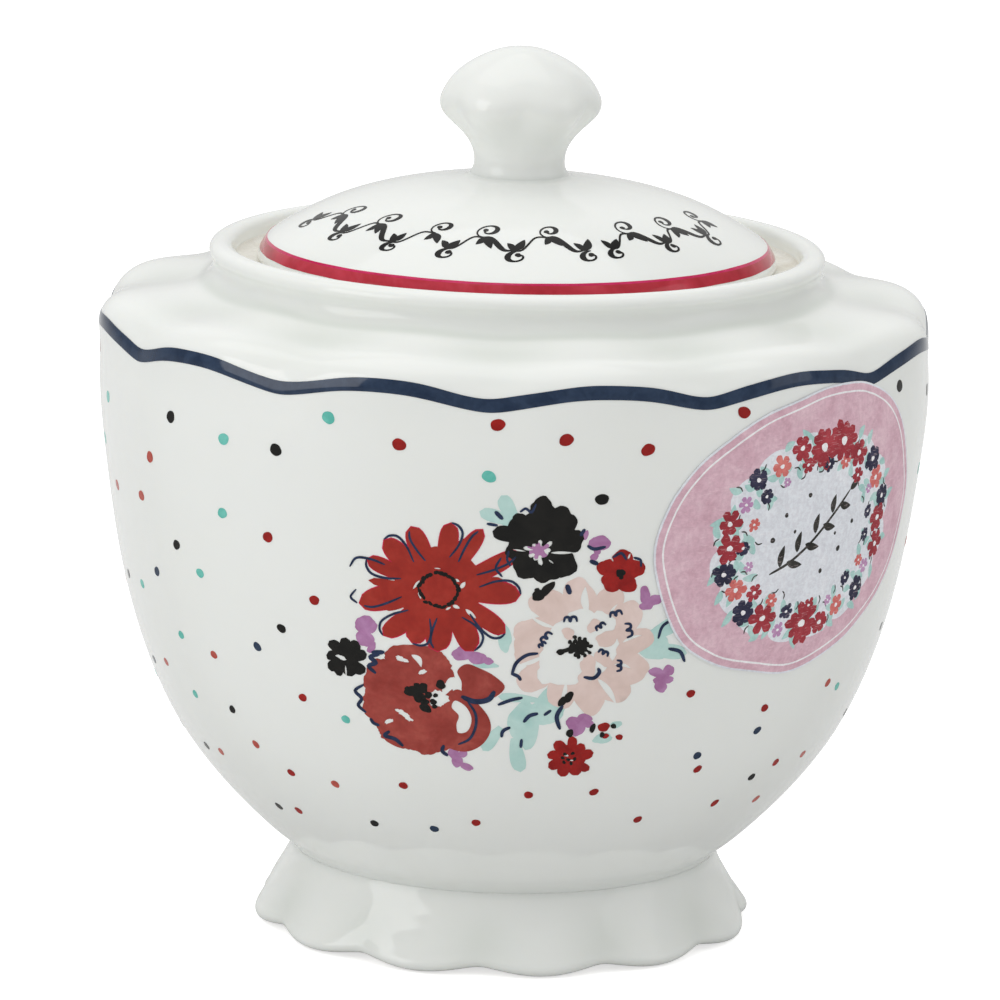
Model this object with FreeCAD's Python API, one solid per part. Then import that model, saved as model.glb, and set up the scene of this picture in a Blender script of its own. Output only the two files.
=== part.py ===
import FreeCAD, Part
import math
import os

# Covered sugar bowl, bone china: bowl, foot, lid, knob and a paper label.
# Frame: millimetres, +Z up, origin at the centre of the foot's resting face.
# Azimuth 0 is the front of the bowl and faces -Y; azimuth 90 faces +X.
# Heights below are measured from a datum plane that lies DATUM_Z above the resting face.

Vector = FreeCAD.Vector

# ---------------------------------------------------------------- driving dimensions
DATUM_Z = 0.6
REST_Z = -DATUM_Z         # resting face
TOP_Z = 127.7             # top of the knob
BODY_R = 60.4             # widest radius, at the crown of the shoulder petals
PETALS = 12               # petals round the shoulder and scallops round the foot
PETAL_AZ = -3.0           # azimuth of one valley between shoulder petals
FOOT_AZ = -5.0            # azimuth of one valley between foot scallops
VALLEY_SOFT = 0.25        # how rounded the valleys are, 0 is a sharp cusp
LOBE_STEPS = 12           # curve points per petal or scallop

FOOT_H = 9.8              # plane where the foot is luted under the body
FOOT_TOP_R = 31.4
FOOT_TOP_BORE_R = 26.8
FOOT_REST_IN_R = 28.3     # inner edge of the flat resting ring
FOOT_REST_OUT_R = 30.2    # outer edge of the resting ring; the valleys arch up beyond it

FLOOR_Z = 13.2            # inside floor of the bowl
LEDGE_Z = 96.1            # seat that the lid rests on
MOUTH_R = 34.2            # opening of the bowl
COLLAR_IN_R = 40.9        # inside of the collar, round the lid
COLLAR_FLARE = 1.7        # the collar's inside opens out by this at the lip
LIP_Z = 99.45             # top of the collar

SEAT_GAP = 0.02           # lid above its seat
LID_R = COLLAR_IN_R - 3.5
LID_EDGE_Z = 97.15        # height of the lid's widest radius
LID_SEAT_R = 36.8         # outer edge of the face that rests on the ledge
LID_MID_Z = 105.5         # underside of the lid at its centre
FLANGE_OUT_R = MOUTH_R - 0.8  # locating flange under the lid, clear of the mouth
FLANGE_IN_R = 30.6
FLANGE_Z = 89.6           # lower end of the flange
FLANGE_ROUND = 1.2        # height of the flange's rounded lower end
FLANGE_TAPER = 0.25       # the flange's outside draws in by this toward its lower end
FLANGE_TOP_Z = 96.4       # top of the flange's straight inside wall

KNOB_Z = 109.4            # plane where the knob is luted to the lid
KNOB_BASE_R = 7.1
KNOB_R = 11.6             # crown of the knob's lobes
KNOB_LOBES = 6
KNOB_AZ = 2.0             # azimuth of one valley between knob lobes
KNOB_STEPS = 16           # curve points per lobe

LABEL_AZ = 45.5           # centre of the paper label
LABEL_Z = 66.3
LABEL_HALF_W = 25.4       # half width round the bowl
LABEL_HALF_H = 20.2
LABEL_GAP = 0.07          # adhesive
LABEL_T = 0.15            # paper
LABEL_REACH = 80.0        # length of the label's cutter, from the axis outward
SKIN_MIN_Z = 35.0         # the label's skin uses the bowl's rows above this height
SKIN_MIN_R = 47.0         # and outside this radius

OVERCUT = 1.0             # the foot's cutter runs past the foot by this
MOUTH_OVERCUT = 5.0       # the bowl's cutter runs above the lip by this
GROUND_SIZE = 100.0       # side of the block that grinds the foot flat
GROUND_DEPTH = 10.0

# ---------------------------------------------------------------- profiles, (radius, height)
# Body outside, below the petals: a round deep bowl.
BODY = [
    (31.6, FOOT_H), (33.05, 12.1), (37.0, 15.9), (41.09, 20.1), (45.3, 25.2),
    (48.55, 30.1), (51.45, 36.0), (53.73, 42.1), (55.45, 48.0), (56.83, 54.1),
    (58.7, 66.1), (59.45, 72.3), (59.9, 78.1),
]
# Shoulder and collar at the middle of a petal and in the valley between two, row by row.
SHOULDER_CROWN = [
    (60.0, 82.0), (60.2, 85.4), (BODY_R, 87.9), (59.95, 90.0), (58.5, 91.5),
    (56.45, 92.25), (53.75, 92.55), (50.8, 92.75), (48.05, 93.05), (46.0, 93.55),
    (44.75, 94.4), (44.15, 95.5), (44.3, 96.6),
]
SHOULDER_VALLEY = [
    (59.85, 82.0), (59.6, 85.4), (59.3, 87.6), (58.5, 89.2), (57.4, 90.2),
    (55.9, 90.9), (53.4, 91.3), (50.6, 91.65), (48.0, 92.05), (46.05, 92.6),
    (44.8, 93.6), (44.15, 95.05), (44.3, 96.6),
]
# How rounded the valley is in each of those rows; it opens out toward the collar.
SHOULDER_SOFT = [0.25, 0.25, 0.25, 0.26, 0.30, 0.36, 0.43, 0.50, 0.56, 0.6, 0.6, 0.6, 0.6]
# Top of the collar, round again.
LIP = [(44.8, 97.5), (44.7, 98.45), (43.9, 99.2), (42.8, LIP_Z)]

# The whole outside of the bowl, upward.
OUTER_CROWN = BODY + SHOULDER_CROWN + LIP
OUTER_VALLEY = BODY + SHOULDER_VALLEY + LIP
OUTER_SOFT = [VALLEY_SOFT] * len(BODY) + SHOULDER_SOFT + [SHOULDER_SOFT[-1]] * len(LIP)

# Foot outside, from the luted plane down and under the rim to the resting ring.
# Between two scallops the rim arches up.
FOOT_CROWN = [
    (FOOT_TOP_R, FOOT_H), (31.6, 9.0), (32.2, 7.4), (33.1, 5.75), (34.05, 4.15),
    (35.1, 2.7), (35.95, 1.5), (36.45, 0.55), (36.2, -0.2), (35.4, -0.55),
    (33.6, -0.62), (31.6, -0.62), (FOOT_REST_OUT_R, REST_Z),
]
FOOT_VALLEY = [
    (FOOT_TOP_R, FOOT_H), (31.65, 9.0), (32.35, 7.45), (33.2, 5.9), (33.95, 4.45),
    (34.55, 3.1), (34.95, 2.1), (35.15, 1.35), (34.95, 0.72), (34.25, 0.4),
    (32.8, 0.1), (31.3, -0.3), (FOOT_REST_OUT_R, REST_Z),
]

# Knob outside, from the luted plane to the top.
KNOB_CROWN = [
    (KNOB_BASE_R, KNOB_Z), (6.88, 110.3), (6.78, 111.5), (7.02, 113.0), (7.67, 114.4),
    (8.75, 115.7), (10.15, 117.0), (11.15, 118.1), (KNOB_R, 119.2), (11.58, 120.3),
    (11.15, 121.4), (10.3, 122.8), (9.1, 124.1), (7.3, 125.45), (4.9, 126.7),
    (2.4, 127.5), (1.0, TOP_Z),
]
KNOB_VALLEY = [
    (KNOB_BASE_R, KNOB_Z), (6.88, 110.3), (6.75, 111.5), (6.92, 113.0), (7.4, 114.5),
    (8.1, 116.0), (8.9, 117.5), (9.7, 118.9), (10.3, 120.2), (10.5, 121.3),
    (10.3, 122.2), (9.75, 123.2), (8.85, 124.3), (7.2, 125.5), (4.9, 126.7),
    (2.4, 127.5), (1.0, TOP_Z),
]

# Bowl inside, from the floor up the wall and in under the shoulder.
INSIDE = [
    (12.0, 13.25), (22.0, 14.1), (28.5, 16.2), (33.6, 19.9), (38.6, 24.6), (43.6, 30.7),
    (47.6, 37.4), (50.6, 44.0), (53.1, 52.6), (55.0, 63.0), (56.2, 73.0), (56.6, 79.5),
    (56.3, 83.5), (55.3, 86.0), (53.2, 87.6), (50.0, 88.6), (46.0, 89.4), (41.5, 90.5),
    (37.5, 91.6), (35.2, 92.2),
]

# Lid outside, from the knob down to the edge, and its underside, from the flange to the centre.
LID_TOP = [
    (7.65, 109.05), (8.7, 108.75), (10.6, 108.4), (13.2, 108.05), (16.3, 107.55),
    (22.71, 106.1), (28.38, 104.05), (32.26, 102.05), (35.0, 100.35), (36.2, 99.4),
    (37.0, 98.2), (LID_R, LID_EDGE_Z),
]
LID_UNDER = [
    (30.0, 98.3), (27.6, 100.3), (23.5, 102.2), (17.5, 104.0), (10.0, 105.2),
    (0.0, LID_MID_Z),
]


# ---------------------------------------------------------------- lobed shapes
def lobe_weight(sine, soft):
    """0 in a valley, where sine is 0, and 1 on a crown, where sine is 1 or -1."""
    return (math.sqrt(sine * sine + soft * soft) - soft) / (math.sqrt(1.0 + soft * soft) - soft)


def section(crown, valley, soft, count, valley_az, steps):
    """Closed smooth curve round the axis, through crown on every lobe and valley between."""
    points = []
    for k in range(count * steps):
        azimuth = valley_az + 360.0 * k / (count * steps)
        sine = math.sin(math.radians(count * (azimuth - valley_az) / 2.0))
        weight = lobe_weight(sine, soft)
        radius = valley[0] + weight * (crown[0] - valley[0])
        z = valley[1] + weight * (crown[1] - valley[1])
        angle = math.radians(azimuth)
        points.append(Vector(radius * math.sin(angle), -radius * math.cos(angle), z))
    curve = Part.BSplineCurve()
    curve.interpolate(Points=points, PeriodicFlag=True)
    return Part.Wire([curve.toShape()])


def lobed_solid(crowns, valleys, softs, count, valley_az, steps=LOBE_STEPS):
    """Smooth solid loft through one lobed section per profile row."""
    wires = [section(crown, valley, soft, count, valley_az, steps)
             for crown, valley, soft in zip(crowns, valleys, softs)]
    return Part.makeLoft(wires, True, False, False)


# ---------------------------------------------------------------- turned shapes
def profile_curve(profile):
    curve = Part.BSplineCurve()
    curve.interpolate([Vector(radius, 0, z) for radius, z in profile])
    return curve


def smooth(path):
    """One smooth edge through the points."""
    return [profile_curve(path).toShape()]


def straight(path):
    """Straight edges from point to point."""
    return [Part.makeLine(Vector(start[0], 0, start[1]), Vector(end[0], 0, end[1]))
            for start, end in zip(path, path[1:])]


def turned(start, runs):
    """Solid of revolution. Each run, (straight or smooth, points), goes on from the last point.

    The last run ends on start.
    """
    edges = []
    for make_edges, points in runs:
        edges += make_edges([start] + points)
        start = points[-1]
    face = Part.Face(Part.Wire(edges))
    return face.revolve(Vector(0, 0, 0), Vector(0, 0, 1), 360)


# ---------------------------------------------------------------- bowl
def make_bowl():
    outer = lobed_solid(OUTER_CROWN, OUTER_VALLEY, OUTER_SOFT, PETALS, PETAL_AZ)
    lip_in_r = COLLAR_IN_R + COLLAR_FLARE
    cutter_z = LIP_Z + MOUTH_OVERCUT
    inside = turned((0.0, FLOOR_Z), [
        (smooth, INSIDE),
        # mouth
        (smooth, [(34.45, 92.55), (MOUTH_R, 93.3)]),
        (straight, [(MOUTH_R, LEDGE_Z - 0.5)]),
        (smooth, [(MOUTH_R + 0.15, LEDGE_Z - 0.15), (MOUTH_R + 0.5, LEDGE_Z)]),
        # ledge
        (straight, [(COLLAR_IN_R - 0.8, LEDGE_Z)]),
        (smooth, [(COLLAR_IN_R - 0.25, LEDGE_Z + 0.25), (COLLAR_IN_R, LEDGE_Z + 0.8)]),
        # collar
        (straight, [(COLLAR_IN_R + 0.05, LEDGE_Z + 1.9)]),
        (smooth, [(COLLAR_IN_R + 0.45, LEDGE_Z + 2.85), (lip_in_r, LIP_Z)]),
        (straight, [(lip_in_r, cutter_z), (0.0, cutter_z), (0.0, FLOOR_Z)]),
    ])
    return outer.cut(inside)


# ---------------------------------------------------------------- foot
def make_foot():
    softs = [VALLEY_SOFT] * len(FOOT_CROWN)
    outer = lobed_solid(FOOT_CROWN[::-1], FOOT_VALLEY[::-1], softs, PETALS, FOOT_AZ)
    low_z = REST_Z - OVERCUT
    high_z = FOOT_H + OVERCUT
    hollow = turned((0.0, low_z), [
        (straight, [(FOOT_REST_IN_R + 0.3, low_z), (FOOT_REST_IN_R, REST_Z)]),
        (smooth, [(28.0, 0.1), (27.7, 2.2), (27.3, 5.0), (26.95, 8.0),
                  (FOOT_TOP_BORE_R, FOOT_H)]),
        (straight, [(FOOT_TOP_BORE_R, high_z), (0.0, high_z), (0.0, low_z)]),
    ])
    # the rim is ground flat where the scallops touch the table
    corner = Vector(-GROUND_SIZE / 2, -GROUND_SIZE / 2, REST_Z - GROUND_DEPTH)
    ground = Part.makeBox(GROUND_SIZE, GROUND_SIZE, GROUND_DEPTH, corner)
    return outer.cut(hollow).cut(ground)


# ---------------------------------------------------------------- lid
def make_lid():
    seat_z = LEDGE_Z + SEAT_GAP
    round_z = FLANGE_Z + FLANGE_ROUND
    flange_mid_r = (FLANGE_OUT_R + FLANGE_IN_R) / 2
    return turned((0.0, LID_MID_Z), [
        (straight, [(0.0, KNOB_Z), (KNOB_BASE_R, KNOB_Z)]),
        (smooth, LID_TOP),
        # edge and seat
        (smooth, [(37.3, 96.6), (LID_SEAT_R, seat_z)]),
        (straight, [(FLANGE_OUT_R + 0.3, seat_z)]),
        # flange, down the outside and up the inside
        (smooth, [(FLANGE_OUT_R + 0.08, seat_z - 0.12), (FLANGE_OUT_R, seat_z - 0.4)]),
        (straight, [(FLANGE_OUT_R - FLANGE_TAPER, round_z)]),
        (smooth, [(FLANGE_OUT_R - 0.65, FLANGE_Z + 0.3), (flange_mid_r, FLANGE_Z),
                  (FLANGE_IN_R + 0.4, FLANGE_Z + 0.3), (FLANGE_IN_R, round_z)]),
        (straight, [(FLANGE_IN_R, FLANGE_TOP_Z)]),
        (smooth, LID_UNDER),
    ])


# ---------------------------------------------------------------- knob
def make_lid_knob():
    softs = [VALLEY_SOFT] * len(KNOB_CROWN)
    return lobed_solid(KNOB_CROWN, KNOB_VALLEY, softs, KNOB_LOBES, KNOB_AZ, KNOB_STEPS)


# ---------------------------------------------------------------- paper label
def offset(profile, distance):
    """The profile moved outward, along the normals of the smooth curve through it."""
    curve = profile_curve(profile)
    moved = []
    for radius, z in profile:
        tangent = curve.tangent(curve.parameter(Vector(radius, 0, z)))[0]
        moved.append((radius + distance * tangent.z, z - distance * tangent.x))
    return moved


def offset_body(distance):
    """Solid whose side follows the bowl's outside at a distance, wall and shoulder only."""
    rows = [row for row in zip(OUTER_CROWN, OUTER_VALLEY, OUTER_SOFT)
            if row[0][1] > SKIN_MIN_Z and row[0][0] > SKIN_MIN_R]
    bowl_crowns, bowl_valleys, softs = zip(*rows)
    crowns = offset(bowl_crowns, distance)
    valleys = offset(bowl_valleys, distance)
    # flat end sections, well clear of the label
    for end in (0, -1):
        radius, z = bowl_crowns[end]
        crowns[end] = valleys[end] = (radius + distance, z)
    return lobed_solid(crowns, valleys, softs, PETALS, PETAL_AZ)


def make_paper_label():
    inner = offset_body(LABEL_GAP)
    outer = offset_body(LABEL_GAP + LABEL_T)
    skin = outer.cut(inner)
    angle = math.radians(LABEL_AZ)
    outward = Vector(math.sin(angle), -math.cos(angle), 0)
    ellipse = Part.Ellipse(Vector(0, 0, 0), LABEL_HALF_W, LABEL_HALF_H)
    face = Part.Face(Part.Wire([ellipse.toShape()]))
    # local X runs round the bowl, local Y up, local Z outward
    placing = FreeCAD.Matrix(math.cos(angle), 0, outward.x, 0,
                             math.sin(angle), 0, outward.y, 0,
                             0, 1, 0, LABEL_Z,
                             0, 0, 0, 1)
    face.transformShape(placing)
    return skin.common(face.extrude(outward * LABEL_REACH))


PARTS = {
    "bowl": make_bowl,
    "foot": make_foot,
    "lid": make_lid,
    "lid_knob": make_lid_knob,
    "paper_label": make_paper_label,
}

os.makedirs("parts", exist_ok=True)
for name, make in PARTS.items():
    shape = make()
    # a boolean wraps its result in a compound; a single solid is taken out of it
    if len(shape.Solids) == 1:
        shape = shape.Solids[0]
    # from the datum plane to the resting face
    shape.translate(Vector(0, 0, DATUM_Z))
    shape.exportStep("parts/" + name + ".step")
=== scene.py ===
import math
import random
from collections import defaultdict

import bmesh
import bpy
import numpy as np
from mathutils import Matrix, Vector
from mathutils.geometry import delaunay_2d_cdt


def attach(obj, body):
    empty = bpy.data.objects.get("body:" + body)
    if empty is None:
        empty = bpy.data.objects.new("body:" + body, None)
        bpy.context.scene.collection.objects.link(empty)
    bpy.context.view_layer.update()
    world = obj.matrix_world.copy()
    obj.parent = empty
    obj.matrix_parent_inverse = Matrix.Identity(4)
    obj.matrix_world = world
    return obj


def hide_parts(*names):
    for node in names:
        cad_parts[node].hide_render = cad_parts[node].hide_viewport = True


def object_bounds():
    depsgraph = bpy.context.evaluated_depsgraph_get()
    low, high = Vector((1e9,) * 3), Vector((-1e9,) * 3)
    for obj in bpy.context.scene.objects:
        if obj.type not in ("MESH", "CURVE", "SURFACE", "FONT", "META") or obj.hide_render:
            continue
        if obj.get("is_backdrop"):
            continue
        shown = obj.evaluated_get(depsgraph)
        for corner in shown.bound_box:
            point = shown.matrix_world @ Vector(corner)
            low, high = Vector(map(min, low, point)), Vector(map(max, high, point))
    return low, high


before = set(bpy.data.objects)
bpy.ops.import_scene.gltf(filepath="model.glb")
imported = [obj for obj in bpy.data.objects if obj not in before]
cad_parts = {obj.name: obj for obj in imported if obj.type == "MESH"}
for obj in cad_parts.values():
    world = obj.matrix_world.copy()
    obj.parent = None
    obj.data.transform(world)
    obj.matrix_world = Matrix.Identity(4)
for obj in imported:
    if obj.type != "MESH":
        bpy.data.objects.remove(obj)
cad_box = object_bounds()

# ---- Sizes of the china, millimetres
MM = 0.001
DATUM = 0.6                     # profile heights are measured from this far above the resting face
REST_Z = -DATUM
PETALS = 12
BOWL_COLUMNS = 38 * PETALS
PETAL_AZIMUTH, FOOT_AZIMUTH = -3.0, -5.0        # azimuth of one valley
KNOB_LOBES, KNOB_AZIMUTH, KNOB_SOFT = 6, 2.0, 0.6
SOFT = 0.25                     # roundness of the valleys between petals
FOOT_H, KNOB_Z, TOP_Z = 10.5, 109.4, 127.7
LEDGE_Z, MOUTH_R, COLLAR_IN_R, LIP_Z = 96.1, 34.2, 40.9, 99.12
FLANGE_OUT_R, FLANGE_IN_R, FLANGE_Z, LID_R = 33.4, 30.6, 89.6, 37.4

# Profiles are (radius, height). A crown profile runs over the middle of a petal, a valley
# profile between two petals.
BODY = [
    (31.05, FOOT_H), (31.7, 11.35), (33.35, 12.7), (37, 15.9), (41.09, 20.1), (45.3, 25.2),
    (48.55, 30.1), (51.45, 36), (53.73, 42.1), (55.45, 48), (56.83, 54.1), (58.7, 66.1),
    (59.45, 72.3), (59.9, 78.1)]
SHOULDER_CROWN = [
    (60, 82), (60.2, 85.4), (60.4, 87.9), (59.95, 90), (58.5, 91.5), (56.45, 92.25),
    (53.75, 92.55), (50.8, 92.75), (48.05, 93.05), (46, 93.55), (44.6, 94.4), (43.9, 95.5),
    (43.95, 96.6)]
SHOULDER_VALLEY = [
    (59.85, 82), (59.6, 85.4), (59.3, 87.6), (58.5, 89.2), (57.6, 90.45), (56.05, 91.3),
    (53.5, 91.88), (50.7, 92.25), (48, 92.62), (46.05, 93.12), (44.65, 94), (43.9, 95.25),
    (43.95, 96.6)]
SHOULDER_SOFT = [0.25, 0.25, 0.28, 0.38, 0.58, 0.82, 1.05, 1.2] + [1.3] * 5
LIP = [(44.35, 97.4), (44.3, 98.25), (43.6, 98.9), (42.5, LIP_Z)]
INSIDE = [
    (42.3, LIP_Z), (41.35, LEDGE_Z + 2.6), (COLLAR_IN_R + 0.05, LEDGE_Z + 1.9),
    (COLLAR_IN_R, LEDGE_Z + 0.8), (COLLAR_IN_R - 0.25, LEDGE_Z + 0.25),
    (COLLAR_IN_R - 0.8, LEDGE_Z)]
MOUTH = [(MOUTH_R + 0.5, LEDGE_Z), (MOUTH_R + 0.15, LEDGE_Z - 0.15), (MOUTH_R, LEDGE_Z - 0.5)]
THROAT = [(MOUTH_R, 93.3), (34.45, 92.55), (35.2, 92.2)]
CAVITY = [
    THROAT[-1], (37.5, 91.6), (41.5, 90.5), (46, 89.4), (50, 88.6), (53.2, 87.6), (55.3, 86),
    (56.3, 83.5), (56.6, 79.5), (56.2, 73), (55, 63), (53.1, 52.6), (50.6, 44), (47.6, 37.4),
    (43.6, 30.7), (38.6, 24.6), (33.6, 19.9), (28.5, 16.2), (22, 14.1), (12, 13.25), (0, 13.2)]
FOOT_CROWN = [
    (31.05, FOOT_H), (31.28, 9.4), (32, 7.6), (33.05, 5.8), (34.05, 4.15), (35.1, 2.7),
    (35.95, 1.5), (36.45, 0.55), (36.2, -0.2), (35.4, -0.55), (33.6, -0.62), (31.6, -0.62),
    (30.2, REST_Z)]
FOOT_VALLEY = [
    (31.05, FOOT_H), (31.3, 9.4), (32.15, 7.65), (33.12, 5.95), (33.95, 4.45), (34.55, 3.1),
    (34.95, 2.1), (35.15, 1.35), (34.95, 0.72), (34.25, 0.4), (32.8, 0.1), (31.3, -0.3),
    (30.2, REST_Z)]
FOOT_INSIDE = [
    (28.3, REST_Z), (28, 0.1), (27.7, 2.2), (27.3, 5), (26.95, 8), (26.8, FOOT_H)]
KNOB_NECK = [(7.1, KNOB_Z), (6.66, 110.3), (6.55, 111.5)]
KNOB_TIP = [(4.9, 126.7), (2.4, 127.5), (1, TOP_Z)]
KNOB_CROWN = KNOB_NECK + [
    (6.85, 113), (7.6, 114.4), (8.75, 115.7), (10.15, 117), (11.15, 118.1), (11.6, 119.2),
    (11.58, 120.3), (11.15, 121.4), (10.3, 122.8), (9.1, 124.1), (7.3, 125.45)] + KNOB_TIP
KNOB_VALLEY = KNOB_NECK + [
    (6.82, 113), (7.45, 114.47), (8.32, 115.9), (9.32, 117.35), (10.15, 118.65), (10.7, 119.85),
    (10.8, 121), (10.5, 122), (9.87, 123.05), (8.9, 124.25), (7.22, 125.49)] + KNOB_TIP
LID_TOP = [
    (7.1, KNOB_Z), (7.65, 109.05), (8.7, 108.75), (10.6, 108.4), (13.2, 108.05), (16.3, 107.55),
    (22.71, 106.1), (28.38, 104.05), (32.26, 102.05), (35, 100.35), (36.2, 99.4), (37, 98.2),
    (LID_R, 97.15), (37.3, 96.6), (36.8, 96.12)]


# ---- Profiles and splines
def petal_wave(azimuth, count, valley_azimuth, soft=SOFT):
    """0 in a valley, 1 on a crown."""
    wave = np.abs(np.sin(np.radians(count * (azimuth - valley_azimuth) / 2.0)))
    return (np.sqrt(wave * wave + soft * soft) - soft) / (math.sqrt(1.0 + soft * soft) - soft)


def shared_knots(first, second):
    """Running mean chord length of two profiles."""
    lengths = [np.hypot(*np.diff(np.asarray(p, float), axis=0).T) for p in (first, second)]
    return np.concatenate([[0.0], np.cumsum(0.5 * (lengths[0] + lengths[1]))])


class Spline:
    """Natural cubic spline through points, by chord length if no knots are given."""

    def __init__(self, points, knots=None):
        self.points = pts = np.asarray(points, float)
        self.knots = shared_knots(pts, pts) if knots is None else knots
        self.spans = span = np.diff(self.knots)
        count = len(pts)
        matrix = np.zeros((count, count))
        target = np.zeros((count, 2))
        matrix[0, 0] = matrix[-1, -1] = 1.0
        for i in range(1, count - 1):
            matrix[i, i - 1:i + 2] = span[i - 1], 2 * (span[i - 1] + span[i]), span[i]
            target[i] = 6 * ((pts[i + 1] - pts[i]) / span[i]
                             - (pts[i] - pts[i - 1]) / span[i - 1])
        self.bends = np.linalg.solve(matrix, target)

    def __call__(self, at):
        i = np.clip(np.searchsorted(self.knots, at, side="right") - 1, 0, len(self.spans) - 1)
        span = self.spans[i][..., None]
        before = (self.knots[i + 1][..., None] - at[..., None]) / span
        after = 1 - before
        return (before * self.points[i] + after * self.points[i + 1]
                + ((before ** 3 - before) * self.bends[i]
                   + (after ** 3 - after) * self.bends[i + 1]) * span * span / 6)


def lobed_rows(crown, valley, steps):
    """Crown rows, valley rows and their spline parameter, with steps[i] rows in span i."""
    knots = shared_knots(crown, valley)
    at = [knots[0]]
    for i, count in enumerate(steps):
        at += list(knots[i] + (knots[i + 1] - knots[i]) * (np.arange(count) + 1) / count)
    at = np.array(at)
    return Spline(crown, knots)(at), Spline(valley, knots)(at), at


def curve_rows(points, step):
    spline = Spline(points)
    count = max(2, int(round(spline.knots[-1] / step)))
    return spline(np.linspace(0, spline.knots[-1], count + 1))


def line_rows(start, end, count):
    start, end = np.asarray(start, float), np.asarray(end, float)
    return start + (end - start) * np.arange(count + 1)[:, None] / count


def join_rows(first, *others):
    """Join parts of a profile, each of which starts where the last one ends."""
    return np.concatenate([first] + [part[1:] for part in others])


def bell(value, centre, width):
    return math.exp(-((value - centre) / width) ** 2)


# ---- Meshes
def make_mesh(name, verts, faces, sharp, weld=False, material_index=None, glaze_and_shade=None):
    """Smooth mesh from points in millimetres, with edges over sharp degrees kept sharp."""
    mesh = bpy.data.meshes.new(name)
    points = (np.asarray(verts, float) + (0.0, 0.0, DATUM)) * MM
    mesh.from_pydata([tuple(v) for v in points.tolist()], [], faces)
    mesh.shade_smooth()
    mesh.set_sharp_from_angle(angle=math.radians(sharp))
    if material_index is not None:
        mesh.polygons.foreach_set("material_index", np.asarray(material_index, np.int32))
    if glaze_and_shade is not None:
        attribute = mesh.attributes.new("glaze_and_shade", "FLOAT", "POINT")
        attribute.data.foreach_set("value", np.asarray(glaze_and_shade, np.float32))
    if weld:
        edit = bmesh.new()
        edit.from_mesh(mesh)
        bmesh.ops.remove_doubles(edit, verts=edit.verts, dist=2e-7)
        edit.to_mesh(mesh)
        edit.free()
        mesh.update()
    ob = bpy.data.objects.new(name, mesh)
    bpy.context.scene.collection.objects.link(ob)
    return ob


def round_axis(azimuth, radius, z):
    angle = np.radians(azimuth)
    return np.stack([radius * np.sin(angle), -radius * np.cos(angle), z], -1)


def lathe(name, crown, valley, lobes, valley_azimuth, columns, glaze_and_shade_rows, bare=(), soft=SOFT,
          flip=False):
    """Closed surface from rows of (radius, height). A row at radius 0 becomes one pole point.
    pools holds (crown, valley) levels of gathered glaze and painted shade, soft is one value or
    one for each row, and bare holds the spans of rows without glaze."""
    azimuth = np.arange(columns) * 360.0 / columns
    soft = np.broadcast_to(soft, len(crown))
    verts, rows, glaze_and_shade = [], [], []
    for k, (top, low, (crown_glaze_and_shade, valley_glaze_and_shade)) in enumerate(zip(crown, valley, glaze_and_shade_rows)):
        if top[0] < 1e-6:
            rows.append([len(verts)])
            verts.append((0.0, 0.0, top[1]))
            glaze_and_shade.append(crown_glaze_and_shade)
            continue
        wave = petal_wave(azimuth, lobes, valley_azimuth, soft[k])
        radius = low[0] + wave * (top[0] - low[0])
        z = np.maximum(low[1] + wave * (top[1] - low[1]), REST_Z)
        rows.append(list(range(len(verts), len(verts) + columns)))
        verts += list(round_axis(azimuth, radius, z))
        glaze_and_shade += list(valley_glaze_and_shade + wave * (crown_glaze_and_shade - valley_glaze_and_shade))
    faces, index = [], []
    for k, (row, after) in enumerate(zip(rows, rows[1:])):
        for j in range(columns):
            i = (j + 1) % columns
            if len(row) == 1:
                face = (row[0], after[i], after[j])
            elif len(after) == 1:
                face = (row[j], row[i], after[0])
            else:
                face = (row[j], row[i], after[i], after[j])
            faces.append(face[::-1] if flip else face)
            index.append(int(k in bare))
    return make_mesh(name, verts, faces, 35.0, True, index, glaze_and_shade)


# ---- Places on the outside of the bowl and on the lid
OUT_CROWN = BODY + SHOULDER_CROWN + LIP
OUT_VALLEY = BODY + SHOULDER_VALLEY + LIP
OUT_KNOTS = shared_knots(OUT_CROWN, OUT_VALLEY)
SAMPLES = 4000
_at = np.linspace(0, OUT_KNOTS[-1], SAMPLES)
crown_line, valley_line = Spline(OUT_CROWN, OUT_KNOTS)(_at), Spline(OUT_VALLEY, OUT_KNOTS)(_at)


def body_point(azimuth, z):
    """Points on the bowl's outside, found by halving along the profile until z is met."""
    shape = azimuth.shape
    azimuth, z = azimuth.ravel(), z.ravel()
    wave = petal_wave(azimuth, PETALS, PETAL_AZIMUTH)
    low, high = np.zeros(len(z)), np.full(len(z), float(SAMPLES - 1))
    index = np.arange(SAMPLES)
    for _ in range(26):
        middle = 0.5 * (low + high)
        z_crown = np.interp(middle, index, crown_line[:, 1])
        z_valley = np.interp(middle, index, valley_line[:, 1])
        below = z_valley + wave * (z_crown - z_valley) < z
        low, high = np.where(below, middle, low), np.where(below, high, middle)
    radius = (np.interp(low, index, valley_line[:, 0]) * (1 - wave)
              + np.interp(low, index, crown_line[:, 0]) * wave)
    return round_axis(azimuth, radius, z).reshape(shape + (3,))


def body_radius(z):
    return np.interp(z, crown_line[:, 1], crown_line[:, 0])


def on_body(azimuth, z, lift):
    """Points that stand off the bowl's outside by lift."""
    step = 0.08
    point = body_point(azimuth, z)
    normal = np.cross(body_point(azimuth + step, z) - body_point(azimuth - step, z),
                      body_point(azimuth, z + step) - body_point(azimuth, z - step))
    normal /= np.linalg.norm(normal, axis=-1, keepdims=True)
    return point + normal * lift


lid_spline = Spline(LID_TOP)
lid_down = np.linspace(0, lid_spline.knots[-1], SAMPLES)
lid_line = lid_spline(lid_down)


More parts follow.
